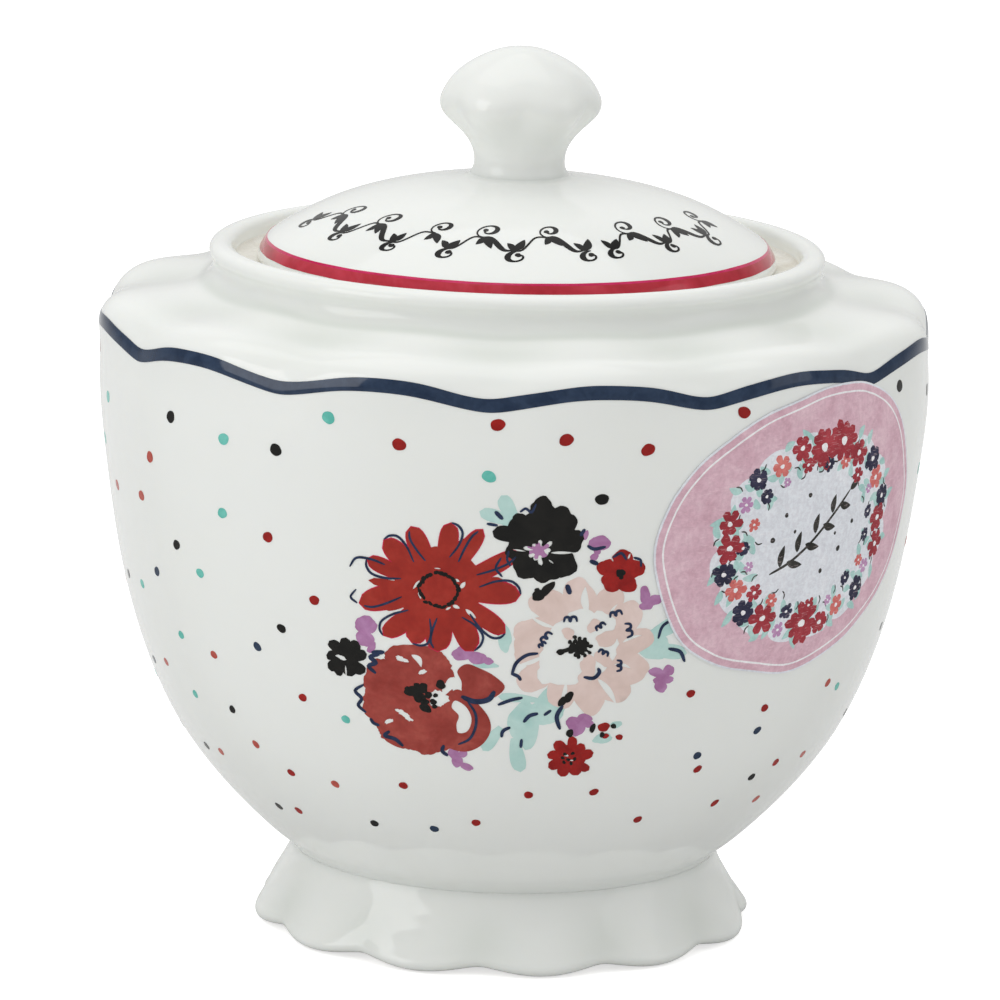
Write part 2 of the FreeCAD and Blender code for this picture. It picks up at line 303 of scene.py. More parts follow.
def on_lid(azimuth, down, lift):
    """Points off the lid's top, at a distance down the dome from the knob's edge."""
    def at(distance):
        return [np.interp(distance, lid_down, lid_line[:, axis]) for axis in (0, 1)]

    step = 0.05
    (radius, z), ahead, behind = at(down), at(down + step), at(down - step)
    d_radius, d_z = ahead[0] - behind[0], ahead[1] - behind[1]
    length = np.hypot(d_radius, d_z)
    return round_axis(azimuth, radius - lift * d_z / length, z + lift * d_radius / length)


def lid_down_at_radius(radius):
    return float(lid_down[int(np.argmax(lid_line[:, 0] >= radius))])


def lid_down_at_height(z):
    return float(lid_down[int(np.argmax(lid_line[:, 1] <= z))])


# ---- China bodies
def build_bowl():
    steps = [4] * 3 + [3] * 11 + [4, 4, 5] + [6] * 5 + [5, 5] + [4] * 5 + [5]
    out_crown, out_valley, at = lobed_rows(OUT_CROWN, OUT_VALLEY, steps)
    bottom = [(radius, FOOT_H) for radius in (0.0, 8.0, 17.0, 25.0, 29.0, 30.6, 30.95)]
    inner = join_rows(
        curve_rows(INSIDE, 0.35), line_rows(INSIDE[-1], MOUTH[0], 6), curve_rows(MOUTH, 0.2),
        line_rows(MOUTH[-1], THROAT[0], 3), curve_rows(THROAT, 0.35), curve_rows(CAVITY, 3.4))
    crown = np.concatenate([bottom, out_crown, inner])
    valley = np.concatenate([bottom, out_valley, inner])
    inner_start = len(bottom) + len(out_crown)
    # the ledge that carries the lid is bare
    middle = 0.5 * (crown[1:] + crown[:-1])
    bare = {k for k, (radius, z) in enumerate(middle)
            if k >= inner_start and LEDGE_Z - 0.45 < z < LEDGE_Z + 0.55
            and MOUTH_R < radius < COLLAR_IN_R + 0.2}
    # gathered glaze and painted shade: the china is darker and cooler in the crease over the foot,
    # the valleys and the groove round the collar
    glaze_and_shade_rows = []
    for k, ((r_crown, z_crown), (r_valley, z_valley)) in enumerate(zip(crown, valley)):
        if k < len(bottom) or k >= inner_start:
            glaze_and_shade_rows.append((0.0, 0.0))
            continue
        crease = 0.3 * bell(z_crown, 11.0, 1.2)
        groove = bell(r_crown, 45.3, 1.0) if 92 < z_crown < 96.5 else 0.0
        dip = 0.8 * bell(r_valley, 51.0, 5.5) if 86 < z_valley < 94 else 0.0
        glaze_and_shade_rows.append((max(crease, groove), max(crease, groove, dip)))
    out_soft = [SOFT] * len(BODY) + SHOULDER_SOFT + [SHOULDER_SOFT[-1]] * len(LIP)
    soft = ([SOFT] * len(bottom) + list(np.interp(at, OUT_KNOTS, out_soft))
            + [SOFT] * len(inner))
    return lathe("bowl_china", crown, valley, PETALS, PETAL_AZIMUTH, BOWL_COLUMNS, glaze_and_shade_rows, bare,
                 soft)


def build_foot():
    steps = [4, 5, 5, 5, 5, 4, 4, 5, 5, 4, 4, 4]
    out_crown, out_valley, _ = lobed_rows(FOOT_CROWN, FOOT_VALLEY, steps)
    rest = (line_rows(FOOT_CROWN[-1], FOOT_INSIDE[0], 4), curve_rows(FOOT_INSIDE, 0.9),
            line_rows(FOOT_INSIDE[-1], FOOT_CROWN[0], 4))
    crown, valley = join_rows(out_crown, *rest), join_rows(out_valley, *rest)
    count = len(out_crown)
    # gathered glaze and painted shade: darker in the crease under the bowl and down the foot's
    # valleys
    glaze_and_shade_rows = []
    for k, (_, z) in enumerate(valley):
        crease = 0.35 * bell(z, 10.2, 0.6)
        dip = 0.55 * bell(z, 4.0, 3.5)
        glaze_and_shade_rows.append((crease, max(crease, dip)) if k < count else (0.0, 0.0))
    # the underside is bare from a little inside the scalloped rim
    return lathe("foot_china", crown, valley, PETALS, FOOT_AZIMUTH, BOWL_COLUMNS, glaze_and_shade_rows,
                 range(count - 14, count + 3), flip=True)


def build_lid():
    base, low, inner_r = LEDGE_Z + 0.02, FLANGE_Z + 1.2, FLANGE_IN_R
    top = join_rows(
        line_rows((0.0, KNOB_Z), LID_TOP[0], 4), lid_spline(np.linspace(0, 3.0, 10)),
        lid_spline(np.linspace(3.0, lid_spline.knots[-1], 70)))
    rows = join_rows(
        top, line_rows((36.8, base), (33.7, base), 3),
        curve_rows([(33.7, base), (33.48, base - 0.12), (FLANGE_OUT_R, base - 0.4)], 0.2),
        line_rows((FLANGE_OUT_R, base - 0.4), (33.15, low), 5),
        curve_rows([(33.15, low), (32.75, FLANGE_Z + 0.3), (32.0, FLANGE_Z),
                    (31.0, FLANGE_Z + 0.3), (inner_r, low)], 0.3),
        line_rows((inner_r, low), (inner_r, 96.4), 5),
        curve_rows([(inner_r, 96.4), (30, 98.3), (27.6, 100.3), (23.5, 102.2), (17.5, 104),
                    (10, 105.2), (0, 105.5)], 1.6))
    # the seat on the ledge is bare
    bare = {k for k in range(len(top) - 1, len(rows) - 1)
            if max(rows[k][1], rows[k + 1][1]) < base + 0.05 and rows[k][0] > inner_r + 0.01}
    # gathered glaze and painted shade in the crease round the knob's base
    glaze_and_shade_rows = [(0.4 * bell(radius, 7.2, 0.6) if z > 107 else 0.0,) * 2 for radius, z in rows]
    return lathe("lid_china", rows, rows, 0, 0.0, 360, glaze_and_shade_rows, bare, flip=True)


def build_knob():
    crown, valley, _ = lobed_rows(KNOB_CROWN, KNOB_VALLEY, [4] * 3 + [5] * 11 + [4, 3])
    base = line_rows((0.0, KNOB_Z), (7.1, KNOB_Z), 3)[:-1]
    top = [(0.5, TOP_Z + 0.02), (0.0, TOP_Z + 0.025)]
    crown, valley = [np.concatenate([base, rows, top]) for rows in (crown, valley)]
    # gathered glaze and painted shade where the knob meets the lid
    glaze_and_shade_rows = [(0.4 * bell(z, 109.5, 0.5) if radius > 5 else 0.0,) * 2 for radius, z in crown]
    return lathe("knob_china", crown, valley, KNOB_LOBES, KNOB_AZIMUTH, 240, glaze_and_shade_rows,
                 soft=KNOB_SOFT)


# ---- Node materials
def srgb(*rgb):
    """Linear colour from 0..255 values."""
    def linear(value):
        value /= 255.0
        return value / 12.92 if value <= 0.04045 else ((value + 0.055) / 1.055) ** 2.4
    return tuple(linear(value) for value in rgb)


class Nodes:
    """The node tree of a material or world, with short ways to add nodes."""

    def __init__(self, owner, coords="Object"):
        owner.use_nodes = True
        self.tree = owner.node_tree
        self.coords = self.node("TexCoord").outputs[coords]

    def fill_in(self, node, inputs):
        """Link or set inputs by name or index. A colour is given without its alpha."""
        for key, value in inputs.items():
            socket = node.inputs[key]
            if isinstance(value, bpy.types.NodeSocket):
                self.tree.links.new(value, socket)
            elif socket.type == "RGBA":
                socket.default_value = (*value, 1.0)
            else:
                socket.default_value = value

    def finish(self, node_name, inputs):
        self.fill_in(self.tree.nodes[node_name], inputs)

    def node(self, kind, inputs=None, **settings):
        node = self.tree.nodes.new("ShaderNode" + kind)
        for key, value in settings.items():
            setattr(node, key, value)
        self.fill_in(node, inputs or {})
        return node

    def noise(self, scale, detail=2.0, roughness=0.5, distortion=0.0, coords=None):
        return self.node("TexNoise", {
            "Scale": scale, "Detail": detail, "Roughness": roughness,
            "Distortion": distortion, "Vector": coords or self.coords}).outputs["Fac"]

    def ramp(self, factor, *stops):
        """Colour ramp from (position, colour or grey level) stops."""
        node = self.node("ValToRGB", {"Fac": factor})
        elements = node.color_ramp.elements
        while len(elements) < len(stops):
            elements.new(0.5)
        for element, (position, tone) in zip(elements, stops):
            element.position = position
            element.color = (*(tone if isinstance(tone, tuple) else (tone,) * 3), 1.0)
        return node.outputs["Color"]

    def mix(self, factor, first, second, blend="MIX"):
        return self.node("Mix", {0: factor, 6: first, 7: second},
                         data_type="RGBA", blend_type=blend).outputs[2]

    def times(self, value, factor):
        return self.node("Math", {0: value, 1: factor}, operation="MULTIPLY").outputs[0]

    def between(self, value, low, high):
        return self.node("MapRange", {
            "Value": value, "To Min": low, "To Max": high}).outputs["Result"]

    def ray(self, kind):
        return self.node("LightPath").outputs[kind]

    def bump(self, height, strength, distance, normal=None):
        inputs = {"Strength": strength, "Distance": distance, "Height": height}
        if normal:
            inputs["Normal"] = normal
        return self.node("Bump", inputs).outputs["Normal"]

    def glaze_roll(self):
        """The faint roll in the glaze, shared by china and inks."""
        return self.bump(self.noise(scale=26.0, detail=1.0, roughness=0.35),
                         strength=0.16, distance=0.0012)


def china_material(name):
    """White china under a clear glaze, darker and cooler in creases from gathered glaze and painted
    shade, with a few pin specks.
    """
    mat = bpy.data.materials.new(name)
    nodes = Nodes(mat)
    cloud = nodes.ramp(nodes.noise(scale=34.0, detail=3.0, roughness=0.55),
                       (0.25, srgb(238, 240, 236)), (0.75, srgb(240, 242, 239)))
    # painted shade, with gathered glaze: this attribute mixes creases and valleys toward a darker,
    # cooler grey
    glaze_and_shade = nodes.node("Attribute", attribute_name="glaze_and_shade").outputs["Fac"]
    colour = nodes.mix(nodes.times(glaze_and_shade, 0.75), cloud, srgb(214, 219, 212))
    cells = nodes.node("TexVoronoi", {
        "Scale": 170.0, "Randomness": 1.0, "Vector": nodes.coords})
    spot = nodes.ramp(cells.outputs["Distance"], (0.028, 1), (0.045, 0))
    rare = nodes.ramp(nodes.noise(scale=61.0, detail=0.0), (0.70, 0), (0.72, 1))
    specks = nodes.mix(1.0, spot, rare, "MULTIPLY")
    fine = nodes.noise(scale=900.0)
    nodes.finish("Principled BSDF", {
        "Base Color": nodes.mix(specks, colour, srgb(176, 174, 164)),
        "Roughness": nodes.between(nodes.noise(scale=90.0), low=0.045, high=0.085),
        "IOR": 1.52,
        "Subsurface Weight": 0.12,
        "Subsurface Radius": (1.0, 0.9, 0.75),
        "Subsurface Scale": 0.0016,
        "Normal": nodes.bump(fine, strength=0.05, distance=0.00005, normal=nodes.glaze_roll()),
    })
    return mat


def bisque_material(name):
    """Bare fired china: matt, creamy and a little sandy."""
    mat = bpy.data.materials.new(name)
    nodes = Nodes(mat)
    colour = nodes.ramp(
        nodes.noise(scale=120.0, detail=4.0, roughness=0.6),
        (0.28, srgb(222, 216, 201)), (0.5, srgb(240, 237, 228)), (0.75, srgb(247, 246, 241)))
    grain = nodes.ramp(nodes.noise(scale=2600.0), (0.42, 0.90), (0.62, 1))
    nodes.finish("Principled BSDF", {
        "Base Color": nodes.mix(1.0, colour, grain, "MULTIPLY"),
        "Roughness": 0.72,
        "Normal": nodes.bump(nodes.noise(scale=3000.0, detail=3.0),
                             strength=0.35, distance=0.00006),
    })
    return mat


def ink_material(name, tones, scale, streak, rough=0.06, shine=0.5, bounce=None):
    """In-glaze print that lies unevenly. bounce is the colour it lends to other surfaces."""
    mat = bpy.data.materials.new(name)
    nodes = Nodes(mat)
    positions = (0.36, 0.62) if len(tones) == 2 else (0.30, 0.50, 0.68)
    wash = nodes.ramp(nodes.noise(scale, detail=3.0, roughness=0.6, distortion=0.6),
                      *[(at, srgb(*tone)) for at, tone in zip(positions, tones)])
    fine = nodes.ramp(nodes.noise(scale * 5.5, roughness=0.6),
                      (0.35, 1 - 0.35 * streak), (0.65, 1))
    colour = nodes.mix(1.0, wash, fine, "MULTIPLY")
    if bounce:
        colour = nodes.mix(nodes.ray("Is Camera Ray"), srgb(*bounce), colour)
    nodes.finish("Principled BSDF", {
        "Base Color": colour,
        "Specular IOR Level": shine,
        "Roughness": nodes.between(nodes.noise(scale * 2.0), low=rough, high=rough + 0.06),
        "IOR": 1.52,
        "Normal": nodes.glaze_roll(),
    })
    return mat


def paper_material(name, tones, fibre=(250, 226, 230)):
    """Uncoated printed paper: mottled ink, short pale fibres and a soft tooth."""
    mat = bpy.data.materials.new(name)
    nodes = Nodes(mat)
    cloud = nodes.ramp(
        nodes.noise(scale=260.0, detail=5.0, roughness=0.72, distortion=0.3),
        *[(at, srgb(*tone)) for at, tone in zip((0.34, 0.5, 0.66), tones)])
    fleck = nodes.ramp(nodes.noise(scale=1500.0, detail=3.0, roughness=0.7),
                       (0.40, (0.90, 0.88, 0.89)), (0.60, 1))
    colour = nodes.mix(1.0, cloud, fleck, "MULTIPLY")
    stretch = nodes.node("Mapping", {
        "Rotation": (0.4, 0.3, 0.8), "Scale": (1.0, 1.0, 6.0), "Vector": nodes.coords})
    fibres = nodes.ramp(
        nodes.noise(scale=700.0, distortion=1.2, coords=stretch.outputs["Vector"]),
        (0.60, 0), (0.70, 1))
    faint = nodes.mix(0.28, (0, 0, 0), fibres)
    nodes.finish("Principled BSDF", {
        "Base Color": nodes.mix(faint, colour, srgb(*fibre)),
        "Roughness": 0.62,
        "Specular IOR Level": 0.35,
        "Normal": nodes.bump(nodes.noise(scale=1800.0, detail=4.0, roughness=0.7),
                             strength=0.5, distance=0.00008),
    })
    return mat


# ---- Prints: flat outlines in millimetres made into thin shells on a curved surface
def counterclockwise(outline):
    points = np.asarray(outline, float)
    x, y = points[:, 0], points[:, 1]
    area = np.sum(x * np.roll(y, -1) - np.roll(x, -1) * y)
    return points if area > 0 else points[::-1]


def fill(outlines, holes, spacing):
    """Points and triangles of the union of outlines less the holes. With a spacing, inner
    points are added so that it can follow a curved surface."""
    verts, faces = [], []
    for outline in [counterclockwise(p) for p in (*outlines, *holes)]:
        faces.append(list(range(len(verts), len(verts) + len(outline))))
        verts += [Vector((float(x), float(y))) for x, y in outline]
    if spacing:
        low = np.min([np.min(p, axis=0) for p in outlines], axis=0)
        high = np.max([np.max(p, axis=0) for p in outlines], axis=0)
        row, y = 0, low[1]
        while y <= high[1]:
            x = low[0] + (0.5 * spacing if row % 2 else 0.0)
            while x <= high[0]:
                # a small shift keeps the grid off the outlines
                verts.append(Vector((x + 1e-4, y + 1.3e-4)))
                x += spacing
            y += spacing * 0.866
            row += 1
    result = delaunay_2d_cdt(verts, [], faces, 1, 1e-5)
    points = np.array([tuple(p) for p in result[0]])
    triangles = []
    for face, owners in zip(result[2], result[5]):
        if not owners or any(owner >= len(outlines) for owner in owners):
            continue
        a, b, c = points[face[0]], points[face[1]], points[face[2]]
        area = (b[0] - a[0]) * (c[1] - a[1]) - (b[1] - a[1]) * (c[0] - a[0])
        if abs(area) >= 1e-9:
            triangles.append(tuple(face) if area > 0 else (face[0], face[2], face[1]))
    used = sorted({i for triangle in triangles for i in triangle})
    number = {old: new for new, old in enumerate(used)}
    return points[used], [tuple(number[i] for i in triangle) for triangle in triangles]


def split_touching(points, triangles):
    """Double a point where separate corners touch, so that a shell stays a clean surface."""
    owner, around = {}, {}
    for j, triangle in enumerate(triangles):
        for i in range(3):
            owner[(triangle[i], triangle[(i + 1) % 3])] = j
            around.setdefault(triangle[i], []).append(j)
    points = [tuple(p) for p in points]
    split = [list(triangle) for triangle in triangles]
    for point, fan in around.items():
        left, is_first = set(fan), True
        while left:
            start = min(left)
            left.discard(start)
            group, stack = [start], [start]
            while stack:
                triangle = triangles[stack.pop()]
                i = triangle.index(point)
                for edge in ((triangle[(i + 1) % 3], point), (point, triangle[(i + 2) % 3])):
                    j = owner.get(edge)
                    if j in left:
                        left.discard(j)
                        group.append(j)
                        stack.append(j)
            if not is_first:
                points.append(points[point])
                for j in group:
                    split[j][triangles[j].index(point)] = len(points) - 1
            is_first = False
    return np.array(points), split


def shell(points, triangles, place, top, under):
    """Closed thin shell: triangles lifted to top, a copy at under, and side walls."""
    points, triangles = split_touching(points, triangles)
    edges = {(t[i], t[(i + 1) % 3]) for t in triangles for i in range(3)}
    rim = sorted(edge for edge in edges if edge[::-1] not in edges)
    count = len(points)
    verts = np.concatenate([place(points[:, 0], points[:, 1], lift) for lift in (top, under)])
    faces = [tuple(t) for t in triangles]
    faces += [(a + count, c + count, b + count) for a, b, c in triangles]
    faces += [(b, a, a + count, b + count) for a, b in rim]
    return verts, faces


def register(ob, material, body):
    ob.data.materials.append(material)
    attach(ob, body)
    return ob


def print_piece(name, groups, top, material, under=-0.03, body="bowl",
                sharp=60.0):
    """One print object from groups of (outlines, holes, place, spacing)."""
    verts, faces, count = [], [], 0
    for outlines, holes, place, spacing in groups:
        points, triangles = fill(outlines, holes, spacing)
        new_verts, new_faces = shell(points, triangles, place, top, under)
        verts.append(new_verts)
        faces += [tuple(i + count for i in face) for face in new_faces]
        count += len(new_verts)
    return register(make_mesh(name, np.concatenate(verts), faces, sharp), material, body)


def ring_piece(name, starts, ends, place, top, material, rows, body="bowl"):
    """Closed band round the axis, between two heights or distances at each column."""
    columns = len(starts)
    part = np.linspace(0, 1, rows + 1)
    across = starts[None, :] + (ends - starts)[None, :] * part[:, None]
    azimuth = np.broadcast_to((np.arange(columns) * 360.0 / columns)[None, :], across.shape)
    loops = list(place(azimuth, across, top)) + list(place(azimuth, across, -0.04)[::-1])
    faces = []
    for k in range(len(loops)):
        here, there = k * columns, (k + 1) % len(loops) * columns
        for j in range(columns):
            i = (j + 1) % columns
            faces.append((here + j, here + i, there + i, there + j))
    ob = make_mesh(name, np.concatenate(loops), faces, 60.0, weld=True)
    register(ob, material, body)


# ---- Drawn shapes
def spin(index, count):
    """Angle of one of count even steps round a circle."""
    return index * 2 * math.pi / count


def polar(x, y, radius, angle):
    return x + radius * math.cos(angle), y + radius * math.sin(angle)


def turned(x, y, angle, points):
    """Points turned by angle and moved to x, y."""
    along, across = points[:, 0], points[:, 1]
    cos, sin = math.cos(angle), math.sin(angle)
    return np.stack([x + along * cos - across * sin, y + along * sin + across * cos], 1)


def catmull_rom(points, count):
    out = []
    for a, b, c, d in zip(points, points[1:], points[2:], points[3:]):
        for k in range(count):
            t = k / count
            out.append(0.5 * ((2 * b) + (c - a) * t + (2 * a - 5 * b + 4 * c - d) * t * t
                              + (3 * b - a - 3 * c + d) * t ** 3))
    return out


def smooth_closed(points, count):
    points = np.asarray(points, float)
    return np.array(catmull_rom(np.concatenate([points[-1:], points, points[:2]]), count))


def smooth_open(points, count):
    points = np.asarray(points, float)
    ends = [2 * points[0] - points[1]], [2 * points[-1] - points[-2]]
    padded = np.concatenate([ends[0], points, ends[1]])
    return np.array(catmull_rom(padded, count) + [points[-1]])


def stroke(points, width, count, taper, blunt):
    """Quads of a pen stroke. With a (thin, thick) width it swells on its way down. taper is
    the share of its length that narrows at each end, blunt the share of width left there."""
    centre = smooth_open(points, count)
    heading = np.gradient(centre, axis=0)
    heading /= np.maximum(np.hypot(heading[:, 0], heading[:, 1])[:, None], 1e-9)
    part = np.linspace(0, 1, len(centre))
    end = np.clip(np.minimum(part, 1 - part) / taper, 0, 1)
    shape = np.sqrt(np.clip(end * (2 - end), 0, 1))
    if isinstance(width, tuple):
        thin, thick = width
        down = np.clip(-heading[:, 1], 0, 1) ** 1.3
        down = np.convolve(np.pad(down, 2, mode="edge"), np.ones(5) / 5, mode="valid")
        width = thin + (thick - thin) * down
    half = (0.5 * width * (blunt + (1 - blunt) * shape))[:, None]
    normal = np.stack([-heading[:, 1], heading[:, 0]], 1)
    left, right = centre + normal * half, centre - normal * half
    return [np.array([right[i], right[i + 1], left[i + 1], left[i]])
            for i in range(len(centre) - 1)]


def blob(x, y, half_width, half_height, seed, wobble=0.07, rough=0.0, turn=0.0, count=30):
    """A hand-drawn round patch. rough adds a broken edge."""
    rng = random.Random(seed)
    phase = [rng.uniform(0, 6.283) for _ in range(4)]
    angle = spin(np.arange(count), count)
    size = 1 + wobble * (np.sin(2 * angle + phase[0]) * 0.6 + np.sin(3 * angle + phase[1]) * 0.5
                         + np.sin(5 * angle + phase[2]) * 0.3)
    size = size + rough * np.array([rng.uniform(-1, 1) for _ in range(count)])
    points = [half_width * size * np.cos(angle), half_height * size * np.sin(angle)]
    return turned(x, y, turn, np.stack(points, 1))


def petal(x, y, heading, inner, outer, width, bend=0.0, tip=6.0, count=12, rng=None):
    """One petal from an inner to an outer radius round x, y."""
    t = np.linspace(0, 1, count)
    half = 0.5 * width * (0.34 + 0.66 * t ** 0.85) * np.sqrt(1 - t ** tip)
    along, middle = inner + (outer - inner) * t, bend * t * t
    left = right = 0.0
    if rng:
        left, right = [rng.uniform(-0.08, 0.08) * width for _ in range(2)]
    bulge = np.sin(math.pi * t)
    upper = np.stack([along, middle + half + left * bulge], 1)
    lower = np.stack([along, middle - half + right * bulge], 1)
    return turned(x, y, heading, np.concatenate([lower, upper[::-1][1:]]))


def leaf(x, y, heading, length, width, bend=0.0):
    t = np.linspace(0, 1, 12)
    half = 0.5 * width * np.sin(math.pi * t ** 0.85) ** 0.8
    middle = bend * np.sin(math.pi * t)
    lower, upper = [np.stack([length * t, middle + side * half], 1) for side in (-1, 1)]
    return turned(x, y, heading, np.concatenate([lower, upper[::-1][1:-1]]))


def shapes(draw, rows, x=0.0, y=0.0):
    """Draw one blob, petal or leaf for each row, with the row's place measured from x, y."""
    return [draw(x + row[0], y + row[1], *row[2:]) for row in rows]


def patches(rows, seed, wobble, rough, count):
    """Blobs from rows of x, y, half-width, half-height and turn, with running seeds."""
    return [blob(x, y, wide, high, seed + k, wobble, rough, turn, count)
            for k, (x, y, wide, high, turn) in enumerate(rows)]


def rosette(rng, x, y, count, start, jitter, inner, reach, *style):
    """Petals all round x, y. reach is the mean length and its lowest and highest factors."""
    out = []
    for k in range(count):
        heading = start + spin(k, count) + rng.uniform(-jitter, jitter)
        length = reach[0] * rng.uniform(reach[1], reach[2])
        out.append(petal(x, y, heading, inner, length, *style, rng))
    return out


def squiggle(x, y, angle, size):
    """A small two-bump pen mark."""
    return turned(x, y, angle, size * np.array([
        (-1.0, -0.1), (-0.75, 0.55), (-0.25, 0.5), (-0.1, -0.05), (0.15, 0.5), (0.7, 0.45),
        (0.85, -0.25)]))


# ---- Build the china
china = china_material("china_glaze")
bisque = bisque_material("bare_china")
china_parts = ((build_bowl(), "bowl", "bowl"), (build_foot(), "bowl", "foot"),
               (build_lid(), "lid", "lid"), (build_knob(), "lid", "lid_knob"))
for ob, body, node in china_parts:
    ob.data.materials.append(china)
    ob.data.materials.append(bisque)
    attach(ob, body)
    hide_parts(node)

# ---- Inks: name, tones from dark to light, noise scale of the wash, streak, other settings
PALE = (236, 228, 222)          # a thin line lends almost none of its colour to other china
INKS = (
    ("navy", [(34, 50, 74), (48, 64, 88)], 300.0, 0.3, {}),
    ("pen_blue", [(28, 40, 68), (42, 56, 88)], 700.0, 0.3, {}),
    ("black", [(14, 14, 12), (26, 25, 22)], 380.0, 0.3, {}),
    ("red", [(150, 38, 30), (163, 45, 34), (174, 54, 42)], 210.0, 0.25, {}),
    ("crimson", [(192, 22, 62), (208, 34, 78)], 500.0, 0.2, {}),
    ("bright_red", [(142, 20, 18), (164, 30, 26)], 380.0, 0.3, {}),
    ("coral", [(150, 56, 48), (163, 67, 59), (176, 80, 70)], 240.0, 0.35, {}),
    ("peach", [(223, 199, 190), (230, 207, 199), (236, 215, 208)], 180.0, 0.08, {}),
    ("mint", [(176, 214, 208), (188, 221, 215), (200, 228, 222)], 200.0, 0.10, {}),
    ("lilac", [(170, 114, 160), (186, 136, 180)], 320.0, 0.2, {}),
    ("teal", [(96, 188, 174), (118, 202, 189)], 380.0, 0.2, {}),
    ("coral_dot", [(178, 72, 62), (194, 92, 80)], 380.0, 0.3, {}),
    ("band_red", [(172, 34, 48), (186, 46, 62), (198, 62, 80)], 120.0, 0.25, {"bounce": PALE}),
    ("magenta", [(196, 24, 80), (210, 46, 100)], 300.0, 0.2, {"bounce": PALE}),
    ("script", [(10, 9, 8), (22, 21, 19)], 380.0, 0.3, {"rough": 0.12, "shine": 0.22}),
)
ink = {name: ink_material("ink_" + name, tones, scale, streak, **others)
       for name, tones, scale, streak, others in INKS}


def place_on_bowl(azimuth):
    def place(x, z, lift):
        return on_body(azimuth + np.degrees(x / body_radius(z)), z, lift)
    return place


# ---- The spray of flowers. Each function adds (outlines, holes) to the lists of art. x runs
# from the middle of the spray, y is the height on the bowl. Columns of the tables:
#   blob: x, y, half-width, half-height, seed, wobble, roughness, turn, point count
#   petal: x, y, heading, inner radius, outer radius, width, bend, tip sharpness
#   leaf: x, y, heading, length, width, bend
def draw_leaves(art):
    art["mint"].append((
        shapes(petal, [(1, 70.2, 2.78, 0.2, 5.6, 2.7, 0.3, 3.6),
                       (0.9, 70.3, 2.14, 0.2, 4.6, 3, -0.2, 3.6)])
        + shapes(blob, [(0.2, 70.2, 1.5, 0.9, 30, 0.1),
                        (-0.5, 53.6, 0.95, 2, 31, 0.12, 0.02, 0.15),
                        (-3.1, 49.6, 1.7, 0.55, 32, 0.14, 0.03, -0.1)])
        + [petal(4.4, 44.4, 3.02, 0.2, 5.6, 1.9, 0.2, 3.6)]
        + shapes(blob, [(2.3, 41, 2.1, 3, 33, 0.12, 0.02, -0.2),
                        (5.4, 42.6, 2.7, 2, 36, 0.12, 0.02, 0.3)])
        + shapes(petal, [(-0.6, 40.2, -2.2, 0.1, 4.6, 2.7, 0.2, 3.4),
                         (1.2, 38.6, -1.45, 0.1, 5.6, 3.1, 0.3, 3.4),
                         (4.2, 41, -1.85, 0.2, 4.6, 2.5, -0.2, 3.4),
                         (4, 43.6, 0.75, 0.2, 3.6, 2.4, 0.2, 3.4),
                         (19.2, 53.2, 0.42, 0.2, 6.6, 3.4, 0.2, 3.4),
                         (18.6, 51.8, -0.12, 0.2, 7.2, 3.2, -0.3, 3.4)])
        + shapes(blob, [(20.6, 52.2, 2.4, 2.2, 34, 0.12, 0.03),
                        (13.6, 38.3, 1.4, 0.8, 35, 0.15, 0.03, 0.3),
                        (15.5, 40.4, 0.9, 0.5, 37, 0.12, 0.02, 0.2)]), ()))


def draw_lilac_buds(art):
    art["lilac"].append((patches((
        (12.3, 67.5, 1.5, 1.15, 0.1), (10.3, 68.7, 0.42, 0.7, -0.5), (11.6, 65.5, 0.62, 0.5, 0.2),
        (12, 66.5, 0.5, 0.7, 0), (-20.1, 54.3, 1.6, 1.35, 0.3), (-20.2, 52.3, 1.35, 1.3, -0.2),
        (-19.2, 51, 0.5, 0.95, -0.4), (-6.3, 51.2, 1.35, 1.15, 0.2),
        (-4.3, 50.6, 1.5, 0.85, -0.15), (-2.7, 50.2, 0.8, 0.5, -0.3), (19, 59.8, 0.75, 1.3, 0.15),
        (20.4, 58.9, 1.2, 0.8, 0.35), (19.3, 58.2, 1, 0.7, 0), (21.2, 48.1, 1.15, 0.75, -0.3),
        (22.9, 48.2, 1, 0.8, 0.3), (22.2, 46.9, 1.5, 0.75, 0.1), (21.9, 45.8, 0.9, 0.85, 0),
        (9.3, 40.9, 1.1, 0.9, 0.6), (10.9, 41.4, 1.15, 0.85, -0.2), (10, 39.9, 1, 1.1, 0.3),
        (11.6, 40.6, 0.7, 0.6, 0), (-7.2, 35.9, 0.8, 1, -0.2), (-5.9, 35.9, 0.55, 0.85, 0.1),
        (-6.7, 34.5, 0.85, 0.9, -0.5), (-5.4, 33.7, 1.1, 0.5, -0.4)), 60, 0.13, 0.04, 26), ()))


